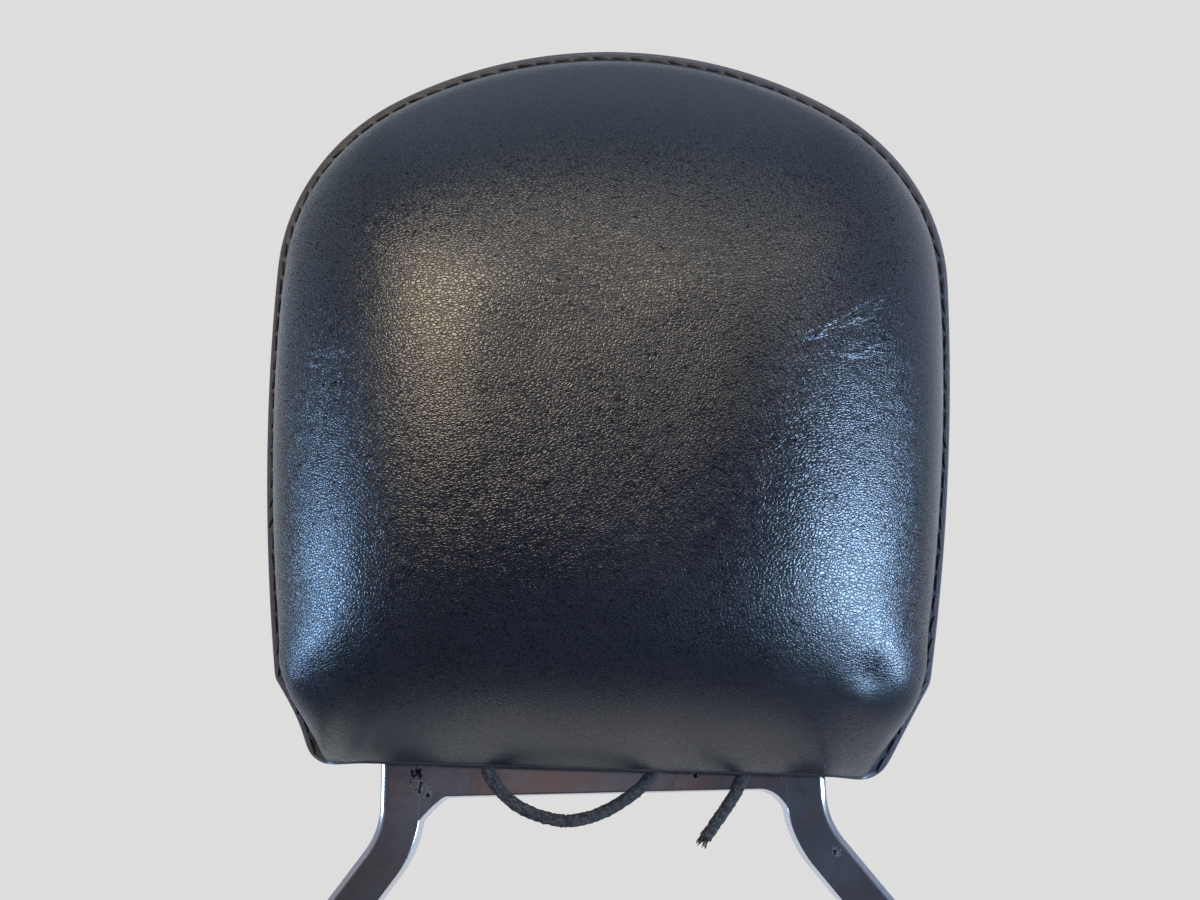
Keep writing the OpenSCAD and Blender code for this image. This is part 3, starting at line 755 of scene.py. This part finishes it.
def cut(thing, x, wide):
    """A slot with round ends, from x to x + wide, cut right through by a Boolean."""
    a = np.linspace(-math.pi / 2, math.pi / 2, 17)
    right = np.stack([x + wide + SLOT_R * np.cos(a), SLOT_H + SLOT_R * np.sin(a)], 1)
    left = np.stack([x - SLOT_R * np.cos(a), SLOT_H - SLOT_R * np.sin(a)], 1)
    ring = np.concatenate([right, left])
    n = len(ring)
    ends = [np.stack([ring[:, 0], np.full(n, y), ring[:, 1]], 1) for y in (3.0, 12.0)]
    points = np.concatenate([*ends, [[x, 3.0, SLOT_H], [x, 12.0, SLOT_H]]])
    cutter = piece("slot_cutter", points, [grid(2, n), fan(np.arange(n), 2 * n, flip=True),
                                           fan(n + np.arange(n), 2 * n + 1)], [edge_finish])
    tool = thing.modifiers.new("slot", "BOOLEAN")
    tool.object, tool.operation, tool.solver = cutter, "DIFFERENCE", "EXACT"
    apply_modifiers(thing)
    bpy.data.objects.remove(cutter)


for x, wide in SLOTS:
    cut(back, x, wide)
print("back panel has", len(back.data.polygons), "faces after its slots were cut")

# %% [markdown]
# ## The lace
# A round leather thong closes the mouth. It starts at a knot behind the back panel, comes
# forward through a hole, drops in a loop over the front of the crossbar, goes back through
# one slot and forward through the next, and hangs down to a frayed cut end.

# %% Lace
LACE_D, LACE_SIDES = 4.0, 20
LACE_ROUTE = np.array([
    (-36, 8.3, 189), (-36, 4, 189), (-36, 0, 189), (-36, -4.5, 188), (-36, -8, 184.5),
    (-36, -9, 180), (-35.5, -9, 175), (-32.5, -9, 169.5), (-26.5, -9, 164),
    (-19, -9, 160.5), (-11.5, -9, 159), (-4, -9, 160), (3.5, -9, 163),
    (10.5, -9, 167.5), (15.5, -9, 172.5), (18.5, -9, 177), (20, -8.5, 182),
    (20, -6, 186.5), (20, -2, 189), (20, 3, 189), (21.5, 7.5, 189), (25, 10.5, 189),
    (29, 11, 189), (33, 11, 189), (37, 11, 189), (41, 10.5, 189), (44.5, 7.5, 189),
    (46, 3, 189), (46, -2, 189), (46, -6, 186.5), (46, -8.5, 182), (45.5, -9, 177),
    (43.5, -9, 172), (40, -9, 165.5), (35.5, -9, 159.5), (30.5, -9, 153)], float)


def smooth_line(points, per_span=12):
    """Catmull-Rom curve: each span is a cubic whose slopes come from its neighbours."""
    ext = np.concatenate([[2 * points[0] - points[1]], points, [2 * points[-1] - points[-2]]])
    t = np.linspace(0, 1, per_span, endpoint=False)[None, :, None]
    a, b, c, d = (ext[k:len(ext) - 3 + k, None] for k in range(4))
    curve = 0.5 * (2 * b + (c - a) * t + (2 * a - 5 * b + 4 * c - d) * t ** 2
                   + (3 * b - a - 3 * c + d) * t ** 3)
    return np.concatenate([curve.reshape(-1, 3), points[-1:]])


def carried_frames(line):
    """Headings along a line and two directions across it, carried on without a twist."""
    ahead = unit(np.gradient(line, axis=0))
    side = np.empty_like(line)
    side[0] = unit(np.cross(ahead[0], [0.3, 0.2, 0.9]))
    for i in range(1, len(line)):
        side[i] = unit(side[i - 1] - ahead[i] * (side[i - 1] @ ahead[i]))
    return ahead, side, np.cross(ahead, side)


def tube(line, radius, sides):
    """Rings round a line; radius is one number a ring or a (ring, side) array."""
    _, side, up = carried_frames(line)
    a = np.linspace(0, 2 * math.pi, sides, endpoint=False)
    radius = np.broadcast_to(radius, (len(line), sides))
    return (line[:, None] + (radius * np.cos(a))[..., None] * side[:, None]
            + (radius * np.sin(a))[..., None] * up[:, None])


lace_finish = finish("rough_lace", lambda tree: {
    "Base Color": mix(tree, noise(tree, place(tree), 0.9, 6.0, 0.7).rise(0.40, 0.68),
                      (0.006, 0.006, 0.006), (0.050, 0.047, 0.046)),
    "Roughness": 0.9,
    "Normal": bump(tree, noise(tree, place(tree), 1.7, 8.0, 0.75), 0.8)})

lace_line = smooth_line(LACE_ROUTE)
rough = LACE_D / 2 * np.clip(0.95 + 0.075 * rng.normal(0, 1, (len(lace_line), LACE_SIDES)), 0.82, 1.08)
rough = (2 * rough + np.roll(rough, 1, 1) + np.roll(rough, -1, 1)) / 4
lace_points = tube(lace_line, rough, LACE_SIDES)
tips = len(lace_line) * LACE_SIDES


def frayed_end(strands=9, rings=6, sides=6):
    """Short tapering fibres that splay from the cut end, each a small closed tube."""
    ahead, side, up = (v[-1] for v in carried_frames(lace_line))
    points, faces = [], []
    for k in range(strands):
        a, out = 2.4 * k, 1.3 * math.sqrt((k + 0.5) / strands)
        across = math.cos(a) * side + math.sin(a) * up
        t = np.linspace(0, 1, rings)[:, None]
        splay = 0.9 * across + rng.normal(0, 0.5, 3)
        line = lace_line[-1] + across * out + (t * 3.4 - 0.8) * ahead + t ** 2 * splay
        start = tips + 2 + k * (rings * sides + 1)
        points += [tube(line, 0.5 - 0.38 * t, sides).reshape(-1, 3), line[-1:] + 0.1 * ahead]
        last = start + (rings - 1) * sides
        faces += [grid(rings, sides, start), fan(last + np.arange(sides), last + sides)]
    return points, faces


fibre_points, fibre_faces = frayed_end()
lace = piece("lace_thong", np.concatenate([lace_points.reshape(-1, 3), lace_line[[0, -1]], *fibre_points]),
             [grid(len(lace_line), LACE_SIDES), fan(np.arange(LACE_SIDES), tips, flip=True),
              fan(np.arange(tips - LACE_SIDES, tips), tips + 1), *fibre_faces],
             [lace_finish], "lace_leather", ["lace"])

# %% Knot
KNOT_STEPS, KNOT_SIDES = 96, 12
t = np.linspace(0, 2 * math.pi, KNOT_STEPS, endpoint=False)
trefoil = np.stack([np.sin(t) + 2 * np.sin(2 * t), 1.25 * np.sin(3 * t), np.cos(t) - 2 * np.cos(2 * t)], 1)
knot_line = trefoil * [0.95, 1.0, 0.95] + [SLOTS[0][0], BACK_Y + 2.9, SLOT_H]
closed = np.concatenate([knot_line, knot_line[:2]])
knot_points = tube(closed, 1.75, KNOT_SIDES)[:KNOT_STEPS]
ring = np.arange(KNOT_SIDES)
last = (KNOT_STEPS - 1) * KNOT_SIDES + ring
knot = piece("lace_stopper_knot", knot_points.reshape(-1, 3),
             [grid(KNOT_STEPS, KNOT_SIDES), np.stack([last, np.roll(last, -1), np.roll(ring, -1), ring], 1)],
             [lace_finish], "lace_leather", ["lace_knot"])

# %% [markdown]
# ## Chrome
# The bars are half-inch square stock with rounded edges, bent cold and plated. The plating
# is old: it mirrors the room softly, with faint brownish stains, dull spots all over, and a
# few pits and specks of rust near the welds.

# %% Chrome finish
RUST = [(58.5, 173.5, 1.0), (54, 171.0, 0.6), (28.5, 171.5, 1.3), (-57, 174, 2.6),
        (-56, 170.5, 2.2), (-54, 168, 1.3), (70, 148, 1.2)]


def chrome_sockets(tree):
    here = place(tree)
    x, z = (node(tree, "SeparateXYZ", {}, {0: here}, out=k) for k in (0, 2))
    speckle = noise(tree, here, 0.9, 4.0, 0.65)
    haze = noise(tree, here, 0.05, 4.0, 0.6)
    stain = noise(tree, place(tree, (1, 1, 0.6), 20), 0.035, 3.0, 0.5, 1.2)
    rust = speckle.rise(0.83, 0.9)
    for cx, cz, size in RUST:
        away = ((x - cx) ** 2.0 + (z - cz) ** 2.0) ** 0.5
        rust = rust.math("MAXIMUM", rust, (away + (speckle - 0.5) * 5.0 * size).rise(size, size * 0.4))
    dull = noise(tree, here, 0.16, 5.0, 0.7).rise(0.5, 0.72) * 0.4
    rusty = mix(tree, speckle.rise(0.45, 0.75), (0.012, 0.008, 0.007), (0.17, 0.075, 0.02))
    colour = mix(tree, stain.rise(0.38, 0.62), (0.52, 0.57, 0.66), (0.58, 0.51, 0.51))
    colour = mix(tree, rust, mix(tree, dull, colour, (0.20, 0.19, 0.20)), rusty)
    return {"Base Color": colour, "Metallic": 1.0, "Roughness": 0.10 + haze * 0.14 + rust * 0.6,
            "Normal": bump(tree, stain, 0.25, 0.6)}


chrome_finish = finish("worn_chrome", chrome_sockets)

# %% [markdown]
# ## Bars
# A section, a square with rounded corners, is carried along a line. On the legs the line is
# made of straights and two circular bends, which spread the legs to the width of the
# fender. The lower crossbar's two edges are curves of their own: they flare out in a fillet
# where the bar was welded in and ground smooth.

# %% Bar sections
EDGE_R, INNER_R, HALF_BAR = 2.4, 0.4, 6.35
BEND_R, FLARE, BEND_H, FOOT_X, FOOT_END = 28.0, math.radians(38), 165.0, 123.65, 10.0


def rounded_square(half_wide, half_deep, radii=(EDGE_R, EDGE_R), steps=8):
    """Corner arcs joined by flats, with one more point on each flat beside every arc, so
    that the flats stay flat in a reflection. The two radii belong to the corners on the
    plus and on the minus side; half sizes may be arrays, one value a ring."""
    a = np.linspace(0, math.pi / 2, steps + 1)
    a = np.concatenate([a[:1], a, a[-1:]])
    lead = np.concatenate([[-0.4], np.zeros(steps + 1), [0.4]])
    x, y = [], []
    for k, (sx, sy) in enumerate([(1, 1), (-1, 1), (-1, -1), (1, -1)]):
        t, r = a + k * math.pi / 2, radii[0] if sx > 0 else radii[1]
        x.append(sx * (np.asarray(half_wide)[..., None] - r) + r * np.cos(t) - lead * np.sin(t))
        y.append(sy * (np.asarray(half_deep)[..., None] - r) + r * np.sin(t) + lead * np.cos(t))
    return np.concatenate(x, -1), np.concatenate(y, -1)


def leg_line():
    """Centre line from the top down: straight, a bend outwards, the slant, a bend back, the foot."""
    t = np.linspace(0, FLARE, 33)
    slant_x = FOOT_X - BAR_X - 2 * BEND_R * (1 - math.cos(FLARE))
    foot_h = BEND_H - 2 * BEND_R * math.sin(FLARE) - slant_x / math.tan(FLARE)
    top = np.stack([BAR_X + BEND_R * (1 - np.cos(t)), BEND_H - BEND_R * np.sin(t), t], 1)
    low = np.stack([FOOT_X - BEND_R * (1 - np.cos(t)), foot_h + BEND_R * np.sin(t), t], 1)[::-1]
    slant = top[-1] + np.linspace(0, 1, 14)[1:-1, None] * (low[0] - top[-1])
    upper = [(BAR_X, h, 0) for h in (FRAME_TOP, FRAME_TOP - 0.7, FRAME_TOP - 2.5,
                                     340, 300, 260, 220, 200, 185, 175)]
    lower = [(FOOT_X, h, 0) for h in (50, 35, 20, FOOT_END + 2.5, FOOT_END + 0.7, FOOT_END)]
    return np.concatenate([upper, top, slant, low, lower])


def leg(sign):
    """The section set across the line at every point, its ends rounded off a little."""
    line = leg_line()
    shrink = np.zeros(len(line))
    shrink[[0, -1]], shrink[[1, -2]] = 0.7, 0.15
    u, v = rounded_square(HALF_BAR - shrink, HALF_BAR - shrink, (EDGE_R, INNER_R))
    x = line[:, :1] + u * np.cos(line[:, 2:])
    z = line[:, 1:2] + u * np.sin(line[:, 2:])
    return np.stack([sign * x, v, z], -1)


for name, sign in (("left", -1), ("right", 1)):
    piece(name + "_bar", *capped(leg(sign), flip=sign < 0),
          [chrome_finish], "frame_chrome", [name + "_upright", name + "_foot"])

# %% Lower crossbar
def crossbar_rings():
    """Sections along x. The lower edge is level, then falls by a quarter of an ellipse into
    the right leg, and by an almost straight slope, t^1.3, into the left one."""
    t = np.linspace(0, 1, 25)
    right_x, right_drop = 48.0 + 10.0 * np.sin(t * 1.5), 13.0 * (1 - np.cos(t * 1.5))
    left_x, left_drop = 48.3 + 9.2 * t, 8.2 * t ** 1.3
    x = np.concatenate([[-60.5], -left_x[::-1], np.linspace(-47, 47, 33), right_x, [60.5]])
    drop = np.concatenate([left_drop[-1:], left_drop[::-1], np.zeros(33), right_drop, right_drop[-1:]])
    low, high = CROSSBAR_H - drop, np.full(len(x), CROSSBAR_H + BAR)
    u, v = rounded_square((high - low) / 2, np.full(len(x), HALF_BAR - 0.03), (EDGE_R, INNER_R))
    return np.stack([np.broadcast_to(x[:, None], u.shape), v, (high + low)[:, None] / 2 + u], -1)


piece("lower_crossbar_bar", *capped(crossbar_rings()), [chrome_finish], "frame_chrome", ["lower_crossbar"])

# %% [markdown]
# ## Side plates
# Two flat plates carry the frame and bolt to the fender struts. Their outline is three
# circles joined by tangents. A bevel, a quarter circle on each face, is carried round it.
# Each face is split halfway between its two bolt holes, and rings lead from there to them.

# %% Plates
PLATE_IN, PLATE_T, BOLT_R, PLATE_BEVEL = 130.0, 6.0, 4.25, 0.9
BOLT_YS = (-82.0, 0.0)
PLATE_ENDS = np.array([(BOLT_YS[0], 0.0, 16.0), (10.0, 0.0, 16.0), (0.0, 45.0, 11.0)])
SPLIT_Y, SPLIT_STEPS = sum(BOLT_YS) / 2, 14


def welded(name, grids, *rest):
    """One closed piece from several grids of points: shared points are merged, and the
    faces turned outwards."""
    faces, total = [], 0
    for points in grids:
        faces.append(grid(*points.shape[:2], start=total))
        total += points.shape[0] * points.shape[1]
    made = piece(name, np.concatenate([g.reshape(-1, 3) for g in grids]), faces, *rest)
    shell = bmesh.new()
    shell.from_mesh(made.data)
    bmesh.ops.remove_doubles(shell, verts=shell.verts, dist=0.004 * MM)
    bmesh.ops.recalc_face_normals(shell, faces=shell.faces)
    open_edges = sum(1 for e in shell.edges if len(e.link_faces) != 2)
    shell.to_mesh(made.data)
    shell.free()
    print(name, "was welded, with", open_edges, "open edges")
    return made


def plate_outline(inset):
    """Arcs about the three ends, between the angles at which the tangents leave them, and
    points along the tangents; the points nearest the split line are moved onto it."""
    ends, arcs, runs = [], [], []
    for k in range(3):
        a, b = PLATE_ENDS[k], PLATE_ENDS[(k + 1) % 3]
        gap = b[:2] - a[:2]
        ends.append(math.atan2(gap[1], gap[0]) - math.acos((a[2] - b[2]) / np.linalg.norm(gap)))
    for k in range(3):
        end = ends[k] + 2 * math.pi * math.ceil((ends[k - 1] - ends[k]) / (2 * math.pi))
        t = np.linspace(ends[k - 1], end, 44)[:, None]
        reach = PLATE_ENDS[k, 2] - inset
        arcs.append(PLATE_ENDS[k, :2] + reach * np.concatenate([np.cos(t), np.sin(t)], 1))
    for k in range(3):
        a, b = arcs[k][-1], arcs[(k + 1) % 3][0]
        runs += [arcs[k], a + np.linspace(0, 1, 24)[1:-1, None] * (b - a)]
    ring = np.concatenate(runs)
    side = ring[:, 0] < SPLIT_Y
    crossings = np.where(side != np.roll(side, -1))[0]
    for i in crossings:
        a, b = ring[i - 1], ring[(i + 1) % len(ring)]
        ring[i] = a + (SPLIT_Y - a[0]) / (b[0] - a[0]) * (b - a)
    return ring, crossings


def plate_grids(sign):
    """The bevelled rim, then for each face and hole the rings from outline to hole, then
    each hole's wall with its small chamfers."""
    def lift(flat, x):
        return np.concatenate([np.full((*flat.shape[:-1], 1), sign * x), flat], -1)

    t = np.linspace(0, math.pi / 2, 7)
    insets = PLATE_BEVEL * (1 - np.sin(t))
    depths = PLATE_BEVEL * (1 - np.cos(t))
    out = PLATE_IN + PLATE_T
    rim = [lift(plate_outline(i)[0], PLATE_IN + d) for i, d in zip(insets, depths)]
    rim += [lift(plate_outline(i)[0], out - d) for i, d in zip(insets[::-1], depths[::-1])]
    grids = [np.array(rim)]
    ring, (low, high) = plate_outline(PLATE_BEVEL)
    between = np.linspace((SPLIT_Y, ring[low, 1]), (SPLIT_Y, ring[high, 1]), SPLIT_STEPS)[1:-1]
    left = np.concatenate([ring[high:], ring[:low + 1], between])
    right = np.concatenate([ring[low:high + 1], between[::-1]])
    for bounds, y in zip((left, right), BOLT_YS):
        centre = np.array([y, 0.0])
        spokes = unit(bounds - centre)
        holes = [centre + spokes * (BOLT_R + k) for k in (0.5, 0.0)]
        share = np.array([0, 0.04, 0.35, 0.7, 0.96, 1])[:, None, None]
        face = bounds + share * (holes[0] - bounds)
        grids += [lift(face, PLATE_IN), lift(face, out)]
        grids.append(np.array([lift(holes[0], PLATE_IN), lift(holes[1], PLATE_IN + 0.5),
                               lift(holes[1], out - 0.5), lift(holes[0], out)]))
    return grids


for name, sign in (("left", -1), ("right", 1)):
    welded(name + "_plate", plate_grids(sign), [chrome_finish], "plate_chrome", [name + "_side_plate"])

# %% [markdown]
# ## Inside the pad
# The foam fills the leather and is glued to a plywood board, which four screws hold to the
# bars. Only an edge of this shows at the open hem, but it is all there.

# %% Foam, board and screws
foam_finish = finish("upholstery_foam", lambda tree: {
    "Base Color": mix(tree, noise(tree, place(tree), 0.2, 5.0),
                      (0.50, 0.42, 0.25), (0.66, 0.60, 0.44)),
    "Roughness": 0.95,
    "Normal": bump(tree, cells(tree, place(tree), 0.9), 0.5)})
wood_finish = finish("plywood", lambda tree: {
    "Base Color": mix(tree, noise(tree, place(tree, (1, 0.3, 0.07)), 0.6, 5.0, 0.6, 1.2),
                      (0.28, 0.17, 0.08), (0.48, 0.33, 0.18)),
    "Roughness": 0.7,
    "Normal": bump(tree, noise(tree, place(tree, (1, 1, 0.1)), 0.8, 4.0), 0.15)})
zinc_finish = finish("zinc_plate", lambda tree: {
    "Base Color": mix(tree, noise(tree, place(tree), 0.4, 4.0),
                      (0.50, 0.48, 0.42), (0.66, 0.66, 0.66)),
    "Metallic": 1.0, "Roughness": 0.38 + noise(tree, place(tree), 0.8, 3.0) * 0.12})

for name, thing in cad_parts.items():
    if thing.hide_render:
        continue
    fixing = name.startswith(("board_screw", "tee_nut"))
    chosen = wood_finish if name == "backboard" else zinc_finish if fixing else chrome_finish
    thing.data.materials.clear()
    thing.data.materials.append(chosen)
    print("CAD node", name, "takes", chosen.name)

BOARD_FRONT, FOAM_GAP = -14.35, 0.8
sink = LEATHER + FOAM_GAP
lifted = calmed(crown_surface(sink, FLANGE + sink, BOARD_FRONT, HEM_LIP + 2.4))
n = len(lifted)
foam = piece("foam_core", np.concatenate([on_pad(lifted).reshape(-1, 3),
                                          on_pad(np.array([lifted[-1].mean(0), [0, BOARD_FRONT, CROWN_H]]))]),
             [grid(n, AROUND), fan((n - 1) * AROUND + np.arange(AROUND), n * AROUND),
              fan(np.arange(AROUND), n * AROUND + 1, flip=True)],
             [foam_finish], "foam", ["foam_pad"])

# %% [markdown]
# ## Floor, backdrop and light
# A pale floor fades into an equally pale surround. Cool lamps stand low at both sides and
# warm ones high in front, with a weak one above. What the leather and the chrome mirror is a
# darker room: brighter at its sides and behind, with a dim reddish patch straight in front.

# %% Floor
BACKGROUND = (0.725, 0.725, 0.72)
FLOOR_Z, FLOOR_STEPS = -16.0, 96
FLOOR_RADII = np.array([10, 200, 400, 550, 700])


def fading_floor(tree):
    away = node(tree, "VectorMath", {"operation": "LENGTH"}, {0: place(tree, shift=(0, -220, 0))}, out=1)
    soft = noise(tree, place(tree), 0.004, 4.0, 0.6)
    colour = mix(tree, soft, (0.66, 0.67, 0.69), (0.71, 0.72, 0.74))
    solid = node(tree, "BsdfDiffuse", {}, {"Color": colour, "Roughness": 0.6})
    clear = node(tree, "BsdfTransparent")
    return node(tree, "MixShader", {}, {0: away.rise(240, 370), 1: solid, 2: clear})


a = np.linspace(0, 2 * math.pi, FLOOR_STEPS, endpoint=False)
flat = FLOOR_RADII[:, None, None] * np.stack([np.cos(a), np.sin(a)], -1)
disc = np.concatenate([flat, np.full((*flat.shape[:2], 1), FLOOR_Z)], -1)
floor_mesh = bpy.data.meshes.new("floor")
floor_mesh.from_pydata((disc.reshape(-1, 3) * MM).tolist(), [],
                       [*grid(*disc.shape[:2]).tolist(), list(range(FLOOR_STEPS))[::-1]])
floor = bpy.data.objects.new("floor", floor_mesh)
bpy.context.scene.collection.objects.link(floor)
floor_material = bpy.data.materials.new("pale_floor")
floor_material.use_nodes = True
floor_material.node_tree.nodes.clear()
node(floor_material.node_tree, "OutputMaterial", {}, {"Surface": fading_floor(floor_material.node_tree)})
floor_mesh.materials.append(floor_material)

# %% World
world = bpy.data.worlds.new("studio")
bpy.context.scene.world = world
world.use_nodes = True
sky = world.node_tree
sky.nodes.clear()
towards = node(sky, "TexCoord", out=0)
x, y, z = (node(sky, "SeparateXYZ", {}, {0: towards}, out=k) for k in range(3))
room = mix(sky, z.rise(-0.1, 0.8), (0.045, 0.052, 0.070), (0.16, 0.20, 0.26))
sides = x.math("ABSOLUTE", x).rise(0.35, 0.75) * z.rise(-0.35, 0.5)
room = mix(sky, sides, room, (0.36, 0.42, 0.52))
ahead = y.rise(0.0, -0.5) * x.rise(-0.16, -0.06) * x.rise(0.09, 0.02)
ahead = ahead * z.rise(-0.07, 0.0) * z.rise(0.2, 0.1)
room = mix(sky, ahead, room, (0.21, 0.165, 0.165))
tone = mix(sky, y.rise(0.35, 0.9), room, (0.65, 0.70, 0.77))
seen = node(sky, "LightPath", out=0) + node(sky, "LightPath", out=6)
glossy = node(sky, "LightPath", out=3)
plain = node(sky, "Background", {}, {0: (0.68, 0.70, 0.73), 1: 1.0})
mirrored = node(sky, "Background", {}, {0: tone, 1: 1.0})
shown = node(sky, "Background", {}, {0: BACKGROUND, 1: 1.0})
lit = node(sky, "MixShader", {}, {0: glossy, 1: plain, 2: mirrored})
node(sky, "OutputWorld", {}, {0: node(sky, "MixShader", {}, {0: seen, 1: lit, 2: shown})})


# %% Lamps
def lamp(name, spot, aim, wide, high, watts, colour):
    """A soft rectangular lamp at a spot, aimed at a point, both in mm."""
    light = bpy.data.lights.new(name, "AREA")
    light.shape, light.size, light.size_y = "RECTANGLE", wide * MM, high * MM
    light.energy, light.color = watts, colour
    thing = bpy.data.objects.new(name, light)
    bpy.context.scene.collection.objects.link(thing)
    thing.location = Vector(spot) * MM
    thing.rotation_euler = (Vector(aim) - Vector(spot)).to_track_quat("-Z", "Y").to_euler()
    thing.visible_camera = False
    print("lamp", name, watts, "W")


PAD_MIDDLE = (0, -30, 290)
lamp("lamp_left", (-1490, -180, 115), PAD_MIDDLE, 1000, 430, 22, (0.35, 0.61, 1.0))
lamp("lamp_right", (1310, -620, -50), PAD_MIDDLE, 1400, 580, 57, (0.42, 0.66, 1.0))
lamp("lamp_warm", (-540, -1120, 1000), PAD_MIDDLE, 760, 560, 11, (1.0, 0.82, 0.56))
lamp("lamp_high", (270, -1180, 1360), PAD_MIDDLE, 1800, 850, 8.2, (1.0, 0.92, 0.76))
lamp("lamp_top", (0, -100, 1900), PAD_MIDDLE, 1600, 1400, 1.7, (0.58, 0.79, 1.0))
bpy.context.scene.view_settings.view_transform = "Standard"
